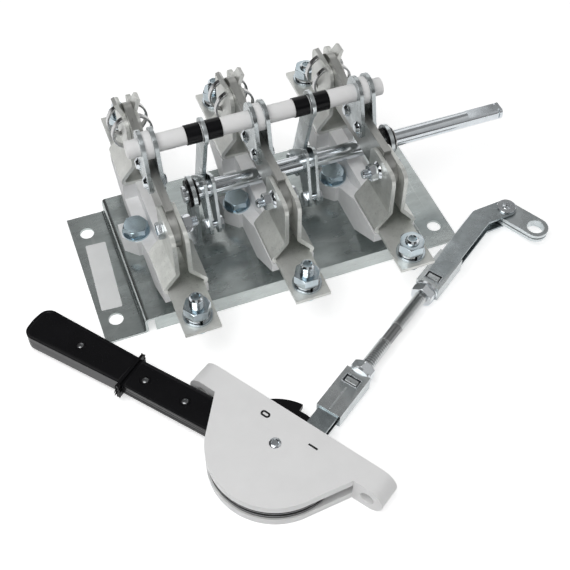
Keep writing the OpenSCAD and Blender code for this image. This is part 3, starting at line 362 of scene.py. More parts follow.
class Shape:
    """A mesh under construction, in millimetres, that becomes one piece."""

    def __init__(self) -> None:
        """Start empty."""
        self.bm = bmesh.new()

    @classmethod
    def of_node(cls, *nodes: str) -> "Shape":
        """Start from merged copies of CAD nodes.

        Args:
            *nodes: Names of the nodes.

        Returns:
            The new shape.
        """
        shape = cls()
        for node in nodes:
            shape.bm.from_mesh(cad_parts[node].data)
        shape.bm.transform(Matrix.Scale(1.0 / MM, 4))
        bmesh.ops.remove_doubles(shape.bm, verts=shape.bm.verts, dist=MERGE_DISTANCE)
        bmesh.ops.dissolve_limit(shape.bm, angle_limit=math.radians(FLAT_ANGLE), use_dissolve_boundaries=False,
                                 verts=shape.bm.verts, edges=shape.bm.edges, delimit=set())
        return shape

    def soften(self, width: float, segments: int = 2, angle: float = 32.0) -> "Shape":
        """Round every edge sharper than an angle.

        Args:
            width: Offset of the rounding.
            segments: Faces across it.
            angle: Least angle between the faces of a rounded edge, in degrees.

        Returns:
            The shape itself.
        """
        least = math.radians(angle)
        sharp = [e for e in self.bm.edges if e.is_manifold and e.calc_face_angle(0.0) > least]
        bmesh.ops.bevel(self.bm, geom=sharp, offset=width, offset_type="OFFSET", segments=segments, profile=0.5,
                        affect="EDGES", clamp_overlap=True, material=-1)
        return self

    def fold(self, radius: float, least: float) -> "Shape":
        """Round the sharp edges between large faces, as the bends of a folded sheet.

        Args:
            radius: Offset of the rounding.
            least: Least area of the faces on both sides.

        Returns:
            The shape itself.
        """
        sharp = math.radians(60.0)
        bends = [e for e in self.bm.edges if e.is_manifold and e.calc_face_angle(0.0) > sharp
                 and min(f.calc_area() for f in e.link_faces) > least]
        bmesh.ops.bevel(self.bm, geom=bends, offset=radius, offset_type="OFFSET", segments=4, profile=0.5,
                        affect="EDGES", clamp_overlap=True, material=-1)
        return self

    def join(self, other: "Shape", place: Matrix) -> "Shape":
        """Add another shape at a place.

        Args:
            other: Shape to add.
            place: Where it goes.

        Returns:
            The shape itself.
        """
        mesh = bpy.data.meshes.new("joined")
        other.bm.to_mesh(mesh)
        mesh.transform(place)
        self.bm.from_mesh(mesh)
        bpy.data.meshes.remove(mesh)
        return self

    def cylinder(self, radius: float, height: float, start: float = 0.0, top: float | None = None,
                 sides: int = 40) -> list[bmesh.types.BMVert]:
        """Add a cylinder or cone along Z.

        Args:
            radius: Radius at its start.
            height: Length along Z.
            start: Z of its lower end.
            top: Radius at its upper end, if it differs.
            sides: Number of sides.

        Returns:
            Its vertices.
        """
        lift = Matrix.Translation((0.0, 0.0, start + height / 2))
        made = bmesh.ops.create_cone(self.bm, cap_ends=True, segments=sides, radius1=radius,
                                     radius2=radius if top is None else top, depth=height, matrix=lift)
        return made["verts"]

    def block(self, size: Vec3, centre: Vec3 = (0.0, 0.0, 0.0)) -> list[bmesh.types.BMVert]:
        """Add a box.

        Args:
            size: Lengths along X, Y and Z.
            centre: Its middle.

        Returns:
            Its vertices.
        """
        place = Matrix.Translation(centre) @ Matrix.Diagonal((*size, 1.0))
        return bmesh.ops.create_cube(self.bm, size=1.0, matrix=place)["verts"]

    def lathe(self, profile: Outline, sides: int = 48, angle: float = 360.0,
              rise: float = 0.0) -> "Shape":
        """Turn an open or closed outline about Z.

        Args:
            profile: Points as radius and height.
            sides: Steps of the whole turn.
            angle: How far it turns, in degrees.
            rise: Climb over the whole turn.

        Returns:
            The shape itself.
        """
        part = bmesh.new()
        verts = [part.verts.new((r, 0.0, z)) for r, z in profile]
        edges = [part.edges.new(pair) for pair in zip(verts, verts[1:])]
        full = angle >= 360.0 and not rise
        bmesh.ops.spin(part, geom=verts + edges, cent=(0, 0, 0), axis=(0, 0, 1), dvec=(0, 0, rise / sides),
                       angle=math.radians(angle), steps=sides, use_merge=full, use_duplicate=False)
        bmesh.ops.remove_doubles(part, verts=part.verts, dist=0.0005)
        if not full:
            bmesh.ops.holes_fill(part, edges=[e for e in part.edges if e.is_boundary], sides=0)
        bmesh.ops.recalc_face_normals(part, faces=part.faces)
        made = Shape()
        made.bm = part
        return self.join(made, Matrix.Identity(4))

    def thread(self, radius: float, pitch: float, length: float, start: float = 0.0) -> "Shape":
        """Add a screw thread along Z with flat ends.

        Args:
            radius: Outer radius.
            pitch: Climb of one turn.
            length: Length along Z.
            start: Z of its lower end.

        Returns:
            The shape itself.
        """
        steps = 20
        turns = math.ceil(length / pitch) + 2
        root = radius - 0.58 * pitch
        tooth = ((root, 0.0), (radius, 0.4), (radius, 0.54), (root, 0.94), (root, 1.0))
        part = bmesh.new()
        verts = [part.verts.new((r, 0.0, (z - 1.0) * pitch)) for r, z in tooth]
        edges = [part.edges.new(pair) for pair in zip(verts, verts[1:])]
        bmesh.ops.spin(part, geom=verts + edges, cent=(0, 0, 0), axis=(0, 0, 1), dvec=(0, 0, pitch / steps),
                       angle=2 * math.pi * turns, steps=steps * turns, use_merge=False, use_duplicate=False)
        bmesh.ops.remove_doubles(part, verts=part.verts, dist=0.001)
        for z, way in ((0.0, -1.0), (length, 1.0)):
            bmesh.ops.bisect_plane(part, geom=part.verts[:] + part.edges[:] + part.faces[:], dist=1e-5,
                                   plane_co=(0, 0, z), plane_no=(0, 0, way), clear_outer=True)
        bmesh.ops.holes_fill(part, edges=[e for e in part.edges if e.is_boundary], sides=0)
        bmesh.ops.recalc_face_normals(part, faces=part.faces)
        made = Shape()
        made.bm = part
        return self.join(made, Matrix.Translation((0.0, 0.0, start)))

    def moved(self, place: Matrix) -> "Shape":
        """Move the whole shape and return it."""
        self.bm.transform(place)
        return self

    def hexagon(self, across: float, height: float, start: float = 0.0) -> "Shape":
        """Add a six-sided block along Z with its corners cut.

        Args:
            across: Width over two opposite sides.
            height: Length along Z.
            start: Z of its lower end.

        Returns:
            The shape itself.
        """
        made = Shape()
        made.cylinder(across / math.sqrt(3.0), height, start, sides=6)
        made.cut_corners(HEX_CUT * across).soften(HEX_ROUNDING)
        return self.join(made, Matrix.Identity(4))

    def cut_corners(self, depth: float) -> "Shape":
        """Cut every corner where three sharp edges meet.

        Args:
            depth: How far along the edges the cut starts.

        Returns:
            The shape itself.
        """
        sharp = math.radians(50.0)
        corners = [v for v in self.bm.verts if len(v.link_edges) == 3
                   and all(e.is_manifold and e.calc_face_angle(0.0) > sharp for e in v.link_edges)]
        bmesh.ops.bevel(self.bm, geom=corners, offset=depth, offset_type="OFFSET", segments=1, profile=0.5,
                        affect="VERTICES", clamp_overlap=True, material=-1)
        return self

    def bulge(self, reach: float, rise: float) -> "Shape":
        """Draw the far end along X out to a shallow arc.

        Args:
            reach: Length of the end that is drawn out.
            rise: How far its middle moves.

        Returns:
            The shape itself.
        """
        far = max(v.co.x for v in self.bm.verts)
        half = max(abs(v.co.y) for v in self.bm.verts if v.co.x > far - reach)
        for step in range(-4, 5):
            end = [f for f in self.bm.faces if any(v.co.x > far - reach for v in f.verts)]
            edges = {e for f in end for e in f.edges}
            verts = {v for f in end for v in f.verts}
            bmesh.ops.bisect_plane(self.bm, geom=[*verts, *edges, *end], dist=1e-4,
                                   plane_co=(0, step * half / 5, 0), plane_no=(0, 1, 0))
        for vert in self.bm.verts:
            share = (vert.co.x - far + reach) / reach
            if share > 0.0:
                vert.co.x += rise * share * (1.0 - (vert.co.y / half) ** 2)
        return self

    def groove(self, low: float, high: float, depth: float, beyond: float = -1e3) -> "Shape":
        """Sink a band of the side faces between two heights.

        Args:
            low: Lower edge of the band.
            high: Upper edge of the band.
            depth: How far it is sunk.
            beyond: Least X of the faces that it takes.

        Returns:
            The shape itself.
        """
        for z in (low, high):
            bmesh.ops.bisect_plane(self.bm, geom=self.bm.verts[:] + self.bm.edges[:] + self.bm.faces[:], dist=1e-4,
                                   plane_co=(0, 0, z), plane_no=(0, 0, 1))
        self.bm.normal_update()
        band = [f for f in self.bm.faces if abs(f.normal.z) < 0.1 and low < f.calc_center_median().z < high
                and min(v.co.x for v in f.verts) > beyond]
        bmesh.ops.inset_region(self.bm, faces=band, thickness=0.02, depth=-depth, use_boundary=True,
                               use_even_offset=True)
        return self

    def panel(self, margin: float, depth: float) -> "Shape":
        """Sink the inside of the largest face that looks up.

        Args:
            margin: Width of the rim left around it.
            depth: How far it is sunk.

        Returns:
            The shape itself.
        """
        self.bm.normal_update()
        top = max((f for f in self.bm.faces if f.normal.z > 0.99), key=lambda f: f.calc_area())
        bmesh.ops.inset_region(self.bm, faces=[top], thickness=margin, depth=0.0, use_even_offset=True)
        bmesh.ops.inset_region(self.bm, faces=[top], thickness=0.35, depth=-depth, use_even_offset=True)
        return self

    def piece(self, name: str, finish: Finish, body: Body, *nodes: str) -> bpy.types.Object:
        """Turn the shape into a piece that rides on a body.

        Args:
            name: Name of the piece.
            finish: Its finish.
            body: The body it moves with.
            *nodes: CAD nodes that it stands for.

        Returns:
            The new object.
        """
        self.bm.transform(Matrix.Scale(MM, 4))
        mesh = bpy.data.meshes.new(name)
        self.bm.to_mesh(mesh)
        self.bm.free()
        mesh.shade_smooth()
        mesh.set_sharp_from_angle(angle=math.radians(SMOOTH_ANGLE))
        mesh.materials.append(finish.material())
        made = bpy.data.objects.new(name, mesh)
        bpy.context.scene.collection.objects.link(made)
        weighted = made.modifiers.new("even shading", "WEIGHTED_NORMAL")
        weighted.keep_sharp = True
        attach(made, body.value)
        if nodes:
            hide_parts(*nodes)
        LOG.info("%s: %d faces", name, len(mesh.polygons))
        return made


@dataclass(frozen=True)
class SoftNode:
    """A CAD node shown by a copy with rounded edges.

    Attributes:
        node: Name of the node.
        finish: Its finish.
        body: The body it moves with.
        width: Offset of the rounding.
        segments: Faces across the rounding.
        corners: How far the corners of a nut or bolt head are cut.
        bend: Rounding of the bends of a folded sheet.
    """

    node: str
    finish: Finish
    body: Body
    width: float
    segments: int = 2
    corners: float = 0.0
    bend: float = 0.0

    def build(self) -> None:
        """Make the copy and let it stand for the node."""
        shape = Shape.of_node(self.node)
        if self.corners:
            shape.cut_corners(self.corners)
        if self.bend:
            shape.fold(self.bend, BEND_AREA)
        shape.soften(self.width, self.segments).piece(self.node + "_soft", self.finish, self.body, self.node)


SOFT_NODES = (
    SoftNode("base_plate", GALVANISED, Body.BASE, 0.3, bend=1.4),
    *(SoftNode(f"insulator_{p.name.lower()}", MOULDED, Body.BASE, 0.9, 3) for p in Pole),
    *(SoftNode(f"front_contact_{p.name.lower()}", TINNED, Body.BASE, 0.35) for p in Pole),
    *(SoftNode(f"rear_contact_{p.name.lower()}", TINNED, Body.BASE, 0.35) for p in Pole),
    SoftNode("jaw_springs", SPRING, Body.BASE, 0.3),
    SoftNode("hinge_washers", BRIGHT, Body.BASE, 0.25),
    SoftNode("hinge_nuts", BRIGHT, Body.BASE, 0.25, corners=1.0),
    SoftNode("terminal_washers", ZINC, Body.BASE, 0.25),
    SoftNode("terminal_nuts", ZINC, Body.BASE, 0.25, corners=1.6),
    SoftNode("anchor_bolts", BLUE, Body.BASE, 0.25, corners=1.6),
    SoftNode("anchor_nuts", BRIGHT, Body.BASE, 0.25, corners=1.6),
    SoftNode("bearing_bracket_left", PLATED, Body.BASE, 0.35),
    SoftNode("bearing_bracket_right", PLATED, Body.BASE, 0.35),
    *(SoftNode(f"knife_blade_{p.name.lower()}", BLADE, Body.KNIVES, 0.5) for p in Pole),
    SoftNode("blade_cheeks", DULL, Body.KNIVES, 0.3),
    SoftNode("blade_rivets", BRIGHT, Body.KNIVES, 0.3),
    SoftNode("crossbar", WHITE, Body.KNIVES, 0.8, 3),
    SoftNode("spacer_rings", WHITE, Body.KNIVES, 0.3),
    SoftNode("bar_sleeves", BLACK, Body.KNIVES, 0.2),
    SoftNode("drive_link_left", PLATED, Body.LINKS, 0.35),
    SoftNode("drive_link_right", PLATED, Body.LINKS, 0.35),
    SoftNode("drive_shaft", BRIGHT, Body.SHAFT, 0.4),
    SoftNode("shaft_crank_left", PLATED, Body.SHAFT, 0.3),
    SoftNode("shaft_crank_right", PLATED, Body.SHAFT, 0.3),
    SoftNode("crank_pins", BRIGHT, Body.SHAFT, 0.25),
    SoftNode("shaft_collars", BLACK, Body.SHAFT, 0.3),
    SoftNode("rotor_disc", BLACK, Body.LEVER, 0.3),
    SoftNode("clevis_pin", BRIGHT, Body.LEVER, 0.3),
    SoftNode("rod_clevis", DULL, Body.ROD, 0.8, 3),
    SoftNode("rod_nuts", LOCKNUT, Body.ROD, 0.25, corners=1.5),
    SoftNode("rod_fork", DULL, Body.ROD, 0.8, 3),
    SoftNode("drive_crank", PLATED, Body.CRANK, 0.4),
)


@dataclass(frozen=True)
class Terminals:
    """Threaded bolts and split washers on the six cable tabs.

    Attributes:
        rows: Y of the front and rear bolts.
        seat: Underside of the tabs.
        head: Height of the hexagon head.
        across: Width of the head over two sides.
        radius: Outer radius of the thread.
        pitch: Climb of one turn of the thread.
        plain: Length of the smooth shank inside the tab.
        tip: Length of the tapered end.
        reach: Length above the seat on the left and middle poles.
        short_reach: Length above the seat on the right pole.
        washer_z: Underside of the split washers.
        washer_radii: Inner and outer radius of the split washers.
        washer_rise: Thickness of their wire, and climb from end to end.
        washer_turn: Way that their gap faces, in degrees.
        taper: How far the tip is drawn in at its start and end.
        dimple: Width of the rim round the dimple in the tip, width of its slope, and its depth.
    """

    rows: tuple[float, float] = (-97.0, 108.0)
    seat: float = 44.0
    head: float = 6.5
    across: float = 17.0
    radius: float = 5.0
    pitch: float = 1.75
    plain: float = 2.5
    tip: float = 1.4
    reach: float = 24.5
    short_reach: float = 18.5
    washer_z: float = 49.0
    washer_radii: tuple[float, float] = (5.4, 8.9)
    washer_rise: tuple[float, float] = (1.9, 0.55)
    washer_turn: float = -84.0
    taper: tuple[float, float] = (0.35, 1.3)
    dimple: Vec3 = (0.6, 0.6, 0.8)

    def build(self) -> None:
        """Make the bolts and the split washers."""
        bolts, washers = Shape(), Shape()
        for pole in Pole:
            for row in self.rows:
                reach = self.short_reach if pole is Pole.RIGHT else self.reach
                bolts.join(self._bolt(reach), Matrix.Translation((pole.value, row, self.seat)))
                seat = placed((pole.value, row, self.washer_z), self.washer_turn)
                washers.join(self._split_washer(), seat)
        bolts.piece("terminal_bolts_threaded", ZINC, Body.BASE, "terminal_bolts")
        washers.piece("spring_washers_coiled", SPRING, Body.BASE, "spring_washers")

    def _bolt(self, reach: float) -> Shape:
        """Make one bolt that stands up from the seat.

        Args:
            reach: Length above the seat.

        Returns:
            The bolt.
        """
        bolt = Shape().hexagon(self.across, self.head, -self.head)
        bolt.cylinder(self.radius, self.plain)
        bolt.thread(self.radius, self.pitch, reach - self.plain - self.tip, self.plain)
        start, end = (self.radius - inset for inset in self.taper)
        rim, slope, depth = self.dimple
        bolt.lathe([(0.0, reach - self.tip), (start, reach - self.tip), (end, reach), (end - rim, reach),
                    (end - rim - slope, reach - depth), (0.0, reach - depth - 0.1)], 32)
        return bolt

    def _split_washer(self) -> Shape:
        """Make one coil of square wire that climbs a little.

        Returns:
            The washer.
        """
        thick, rise = self.washer_rise
        return Shape().lathe(band(self.washer_radii, 0.0, thick), 44, 348.0, rise).soften(0.2)


@dataclass(frozen=True)
class Hinges:
    """Bolts that the knives swing on.

    Attributes:
        axis: Y and Z of the hinge line.
        face: Middle of the pole to the outside of the jaws.
        head: Height of the hexagon head.
        across: Width of the head over two sides.
        radius: Outer radius of the bolt.
        pitch: Climb of one turn of the thread.
        plain: Middle of the pole to the start of the thread.
        end: Middle of the pole to the end of the bolt.
        tip: Length of the tapered end.
        taper: How far the tip is drawn in at its start and end.
    """

    axis: tuple[float, float] = (-47.0, 85.0)
    face: float = 6.15
    head: float = 4.5
    across: float = 11.0
    radius: float = 3.5
    pitch: float = 1.0
    plain: float = 8.15
    end: float = 18.65
    tip: float = 0.8
    taper: tuple[float, float] = (0.25, 0.9)

    def build(self) -> None:
        """Make the three bolts, the left one pointing the other way."""
        bolts = Shape()
        for pole in Pole:
            way = 1.0 if pole is Pole.LEFT else -1.0
            bolts.join(self._bolt(), facing((pole.value, *self.axis), (way, 0.0, 0.0)))
        bolts.piece("hinge_bolts_threaded", BRIGHT, Body.BASE, "hinge_bolts")

    def _bolt(self) -> Shape:
        """Make one bolt along Z.

        Returns:
            The bolt.
        """
        bolt = Shape().hexagon(self.across, self.head, -self.face - self.head)
        bolt.cylinder(self.radius, self.face + self.plain, -self.face)
        bolt.thread(self.radius, self.pitch, self.end - self.plain - self.tip, self.plain)
        start, end = (self.radius - inset for inset in self.taper)
        bolt.cylinder(start, self.tip, self.end - self.tip, end)
        return bolt


@dataclass(frozen=True)
class ShaftClip:
    """Snap ring in the groove outside the right bearing.

    Attributes:
        centre: Middle of the ring's inner face.
        radii: Inner and outer radius.
        thick: Thickness along the shaft.
        arc: How far the ring runs round the shaft, in degrees.
    """

    centre: Vec3 = (109.9, 4.0, 59.0)
    radii: tuple[float, float] = (5.6, 9.2)
    thick: float = 1.1
    arc: float = 318.0

    def build(self) -> None:
        """Make the open ring."""
        ring = Shape().lathe(band(self.radii, 0.0, self.thick), 40, self.arc).soften(0.15)
        ring.moved(facing(self.centre, (1.0, 0.0, 0.0)))
        ring.piece("shaft_clip", SPRING, Body.SHAFT)


@dataclass(frozen=True)
class BlankSticker:
    """Blank sticker on the left flange.

    Attributes:
        centre: Its middle.
        size: Width and length.
        turn: Turn about Z in degrees.
        thick: Thickness of the foil.
        corner: Radius of its corners.
    """

    centre: Vec3 = (-128.4, -1.5, 2.0)
    size: tuple[float, float] = (15.8, 66.6)
    turn: float = -3.2
    thick: float = 0.15
    corner: float = 1.2

    def build(self) -> None:
        """Make the foil with rounded corners."""
        foil = Shape()
        foil.block((*self.size, self.thick), (0.0, 0.0, self.thick / 2))
        upright = [e for e in foil.bm.edges if abs(e.verts[0].co.z - e.verts[1].co.z) > self.thick / 2]
        bmesh.ops.bevel(foil.bm, geom=upright, offset=self.corner, offset_type="OFFSET", segments=4, profile=0.5,
                        affect="EDGES", clamp_overlap=True, material=-1)
        foil.moved(placed(self.centre, self.turn))
        foil.piece("blank_sticker", STICKER, Body.BASE)


@dataclass(frozen=True)
class Housing:
    """White housing: two shells and two drilled ears shown as one rounded moulding.

    Attributes:
        nodes: CAD nodes that it stands for.
        pivot: Middle of the lever's turn.
        turn: Way that the straight side faces, in degrees.
        ears: Middle of the straight side to the start of each ear.
        slot: Lower and upper side of the slot between the shells.
        rounding: Rounding of the edges.
    """

    nodes: tuple[str, ...] = ("housing_lower", "housing_upper", "housing_ears")
    pivot: Vec3 = (-60.611, -195.235, 0.0)
    turn: float = 33.0
    ears: float = 56.0
    slot: tuple[float, float] = (6.5, 16.5)
    rounding: float = 1.4

    def build(self) -> None:
        """Join the shells to the ears and round the edges."""
        home = placed(self.pivot, self.turn)
        shape = Shape.of_node(*self.nodes).moved(home.inverted())
        part = shape.bm
        for z in self.slot:
            bmesh.ops.bisect_plane(part, geom=part.verts[:] + part.edges[:] + part.faces[:], dist=1e-3,
                                   plane_co=(0, 0, z), plane_no=(0, 0, 1))
        bmesh.ops.remove_doubles(part, verts=part.verts, dist=0.01)
        part.normal_update()
        bmesh.ops.delete(part, geom=[f for f in part.faces if self._between(f)], context="FACES_ONLY")
        shape.soften(self.rounding, 4).moved(home).piece("housing_moulding", WHITE, Body.BASE, *self.nodes)

    def _between(self, face: bmesh.types.BMFace) -> bool:
        """Tell whether a face is where a shell meets an ear.

        Args:
            face: Face to judge.

        Returns:
            True where both touch.
        """
        middle = face.calc_center_median()
        low, high = self.slot
        return abs(face.normal.y) > 0.99 and abs(abs(middle.y) - self.ears) < 0.05 and not low < middle.z < high


@dataclass(frozen=True)
class PositionMarks:
    """The off and on marks printed on the housing.

    Attributes:
        pivot: Middle of the lever's turn on the housing's top.
        turn: Way that the straight side faces, in degrees.
        off: Place of the off mark, away from the straight side and along it.
        on: Place of the on mark.
        length: Height of the marks.
        width: Width of the off mark.
        stroke: Width of their line.
        thick: Thickness of the print.
    """

    pivot: Vec3 = (-60.611, -195.235, 23.0)
    turn: float = 33.0
    off: tuple[float, float] = (13.7, 18.1)
    on: tuple[float, float] = (12.2, -21.5)
    length: float = 7.0
    width: float = 4.4
    stroke: float = 1.35
    thick: float = 0.12

    def build(self) -> None:
        """Make both marks as thin raised prints."""
        home = placed(self.pivot, self.turn)
        marks = Shape().join(self._ring(), Matrix.Translation((*self.off, 0.0)))
        bar = Shape()
        bar.block((self.stroke, self.length, self.thick), (*self.on, self.thick / 2))
        marks.join(bar, Matrix.Identity(4)).moved(home).piece("position_marks", INK, Body.BASE)

    def _ring(self) -> Shape:
        """Return the off mark, a ring drawn out along Y."""
        half = self.width / 2
        ring = Shape().lathe(band((half - self.stroke, half), 0.0, self.thick), 48)
        for way in (-1.0, 1.0):
            end = [v for v in ring.bm.verts if v.co.y * way > 0.02]
            bmesh.ops.translate(ring.bm, vec=(0.0, way * (self.length / 2 - half), 0.0), verts=end)
        return ring


@dataclass(frozen=True)
class Rotor:
    """Pivot rivet, the layers seen in the housing's slot, and a black arc painted as shade in the slot.

    Attributes:
        pivot: Middle of the lever's turn.
        radius: Radius of the rivet.
        top: Height of the rivet's top.
        rim: Start and end of the layered rim in degrees from the way X points.
        rim_radii: Inner and outer radius of the rim.
        layers: Underside and thickness of each bright layer.
        painted_slot_shade: Underside and thickness of the dark arc between them, painted shade in the slot beyond
            the rotor disc.
        slot_shade_start: Where that painted shade carries on from the solid rim.
    """

    pivot: Vec3 = (-60.611, -195.235, 0.0)
    radius: float = 4.0
    top: float = 24.0
    rim: tuple[float, float] = (160.0, 311.0)
    rim_radii: tuple[float, float] = (38.0, 45.3)
    layers: tuple[tuple[float, float], ...] = ((9.3, 0.7), (13.0, 0.7))
    painted_slot_shade: tuple[float, float] = (7.4, 8.2)
    slot_shade_start: float = 280.0

    def build(self) -> None:
        """Make the rivet, the rim's layers and the black arc of painted shade that carries on the rim."""
        home = Matrix.Translation(self.pivot)
        edge = self.radius - 0.9
        rivet = Shape().lathe([(0.0, 0.0), (self.radius, 0.0), (self.radius, self.top - 0.7), (edge, self.top),
                               (edge - 0.6, self.top), (edge - 1.1, self.top - 0.5), (0.0, self.top - 0.35)], 48)
        rivet.moved(home).piece("pivot_rivet", BRIGHT, Body.BASE, "pivot_pin")
        bright = Shape()
        for low, thick in self.layers:
            bright.join(self._arc(self.rim[0], low, thick, self.rim_radii[1]), home)
        bright.piece("rotor_layers", GUNMETAL, Body.LEVER)
        # Painted shade: a black arc fills the dark of the slot past the rotor disc.
        painted_slot_shade = self._arc(self.slot_shade_start, *self.painted_slot_shade, self.rim_radii[1] - 0.4)
        painted_slot_shade.moved(home).piece("rotor_slot_shade", BLACK, Body.LEVER)

    def _arc(self, start: float, low: float, thick: float, outer: float) -> Shape:
        """Make an arc of the rim.

        Args:
            start: Where it starts, in degrees.
            low: Its underside.
            thick: Its thickness.
            outer: Its outer radius.

        Returns:
            The arc.
        """
        arc = Shape().lathe(band((self.rim_radii[0], outer), low, thick), 60, self.rim[1] - start)
        return arc.soften(0.12).moved(Matrix.Rotation(math.radians(start), 4, "Z"))


@dataclass(frozen=True)
class Lever:
    """Layered lever with sunk panels and three fasteners.

    Attributes:
        pivot: Middle of the lever's turn.
        turn: Way that the lever points, in degrees.
        middle: Height of its middle plane.
        seams: Lower and upper edge of the upper seam, from the middle plane.
        seam_depth: Depth of the seams.
        panel: Width of the rim round the sunk panels, and their depth.
        collar: Outer side of the collar between neck and grip.
        screws: Distance from the pivot and height of each fastener.
        sunk: How far the fasteners are sunk.
        grip_r: Length of the grip's rounded end.
        bulge: How far the middle of that end stands out.
    """

    pivot: Vec3 = (-60.611, -195.235, 0.0)
    turn: float = 128.5
    middle: float = 11.5
    seams: tuple[float, float] = (1.3, 1.9)
    seam_depth: float = 0.5
    panel: tuple[float, float] = (1.2, 0.5)
    collar: float = 117.9
    screws: tuple[tuple[float, float], ...] = ((71.3, 16.0), (104.4, 16.0), (160.3, 17.0))
    sunk: float = 0.3
    grip_r: float = 7.0
    bulge: float = 2.6

    def build(self) -> None:
        """Make the neck, the grip and the fasteners."""
        home = placed(self.pivot, self.turn)
        low, high = self.seams
        for node, width, beyond in (("lever_neck", 0.5, 0.0), ("lever_grip", 0.6, self.collar)):
            shape = Shape.of_node(node).moved(home.inverted()).soften(width, 2)
            shape.groove(self.middle + low, self.middle + high, self.seam_depth, beyond)
            shape.groove(self.middle - high, self.middle - low, self.seam_depth, beyond)
            shape.panel(*self.panel)
            if beyond:
                shape.bulge(self.grip_r, self.bulge)
            shape.moved(home).piece(node + "_layered", GRIP, Body.LEVER, node)
        rims, heads = Shape(), Shape()
        for along, top in self.screws:
            place = home @ Matrix.Translation((along, 0.0, top - self.sunk))
            rims.join(self._rim(), place)
            heads.join(self._head(), place)
        rims.piece("lever_screw_rims", BLACK, Body.LEVER)
        heads.piece("lever_screws", GUNMETAL, Body.LEVER)

    def _rim(self) -> Shape:
        """Return the raised rim round a fastener."""
        return Shape().lathe([(2.5, -0.4), (2.5, 0.1), (2.8, 0.4), (3.6, 0.4), (4.1, -0.4), (2.5, -0.4)], 32)

    def _head(self) -> Shape:
        """Return the domed head of a fastener."""
        return Shape().lathe([(0.0, -0.4), (2.4, -0.4), (2.3, -0.1), (1.6, 0.18), (0.7, 0.28), (0.0, 0.3)], 32)


@dataclass(frozen=True)
class PullRod:
    """Threaded rod with a plain neck, the keys, the rims of their windows and the crease on the clevis, the rims
    and crease in a lighter finish as painted highlights.

    Attributes:
        pin: Middle of the clevis pin.
        turn: Way that the rod points, in degrees.
        radius: Outer radius of the thread.
        neck_radius: Radius of the plain neck.
        pitch: Climb of one turn of the thread.
        near: Start and end of the thread in the clevis.
        far: Start and end of the thread in the fork.
        keys: Distances from the pin to the keys.
        window: Length and width of the windows.
        top: Height of the clevis' top over the rod's middle.
        gap: How much the keys are drawn in from their windows.
        bead: Width and height of the window rims, raised and painted as highlights in bright zinc.
        ring: Width of the rings at the neck, and how far their edges are cut.
        crease: Start and end of the crease on the clevis, a raised rib painted as a highlight line.
        crease_size: Its width and height.
    """

    pin: Vec3 = (-34.674, -193.421, 11.5)
    turn: float = 34.0
    radius: float = 5.0
    neck_radius: float = 4.3
    pitch: float = 2.0
    near: tuple[float, float] = (56.5, 93.5)
    far: tuple[float, float] = (110.5, 154.5)
    keys: tuple[float, float] = (49.5, 161.5)
    window: tuple[float, float] = (6.3, 11.3)
    top: float = 6.25
    gap: float = 0.7
    bead: tuple[float, float] = (0.7, 0.5)
    ring: tuple[float, float] = (1.2, 0.5)
    crease: tuple[float, float] = (22.0, 43.0)
    crease_size: tuple[float, float] = (1.3, 0.4)

    def build(self) -> None:
        """Make the rod, its neck, the keys, their window rims and the crease."""
        angle = math.radians(self.turn)
        lengthwise = facing(self.pin, (math.cos(angle), math.sin(angle), 0.0))
        self._rod().moved(lengthwise).piece("pull_rod_threaded", THREAD, Body.ROD, "threaded_rod")
        neck = Shape()
        neck.cylinder(self.neck_radius, self.far[0] - self.near[1], self.near[1])
        neck.moved(lengthwise).piece("pull_rod_neck", GUNMETAL, Body.ROD)
        home = placed(self.pin, self.turn)
        # Painted highlight: the raised window rims are bright zinc, lighter than the clevis, for its lit edges.
        self._highlight_rims().moved(home).piece("key_window_highlight_rims", BRIGHT, Body.ROD)
        self._fitted_keys(home).moved(home).piece("rod_keys_fitted", DULL, Body.ROD, "rod_keys")
        # Painted highlight: the crease rib is plated, lighter than the clevis, for its lit streak.
        start, end = self.crease
        crease = Shape()
        crease.block((end - start, *self.crease_size), ((start + end) / 2, 0.0, self.top))
        crease.soften(0.19).moved(home).piece("clevis_crease_highlight", PLATED, Body.ROD)

    def _rod(self) -> Shape:
        """Return both threads along Z, each with a ring at the neck."""
        rod = Shape()
        for start, end in (self.near, self.far):
            rod.thread(self.radius, self.pitch, end - start, start)
        width, cut = self.ring
        ring = [(0.0, 0.0), (self.radius - cut, 0.0), (self.radius, width / 3), (self.radius, 2 * width / 3),
                (self.radius - cut, width), (0.0, width)]
        for middle in (self.near[1], self.far[0]):
            rod.join(Shape().lathe(ring, 32), Matrix.Translation((0.0, 0.0, middle - width / 2)))
        return rod

    def _fitted_keys(self, home: Matrix) -> Shape:
        """Make the keys with a gap left in their windows.

        Args:
            home: Placing of the rod.

        Returns:
            The keys, in the rod's own frame.
        """
        keys = Shape.of_node("rod_keys").moved(home.inverted())
        for vert in keys.bm.verts:
            middle = min(self.keys, key=lambda key: abs(vert.co.x - key))
            vert.co.x -= math.copysign(self.gap, vert.co.x - middle)
            vert.co.y -= math.copysign(self.gap, vert.co.y)
        return keys.soften(0.5, 2)

    def _highlight_rims(self) -> Shape:
        """Return thin raised rims round both windows, in bright zinc as a painted highlight of their lit edges."""
        width, height = self.bead
        rims = Shape()
        for key in self.keys:
            for side in (-1.0, 1.0):
                across, along = Shape(), Shape()
                end = key + side * (self.window[0] + width) / 2
                across.block((width, self.window[1] + 2 * width, height), (end, 0.0, self.top))
                along.block((self.window[0], width, height), (key, side * (self.window[1] + width) / 2, self.top))
                for bar in (across, along):
                    rims.join(bar.soften(0.18), Matrix.Identity(4))
        return rims


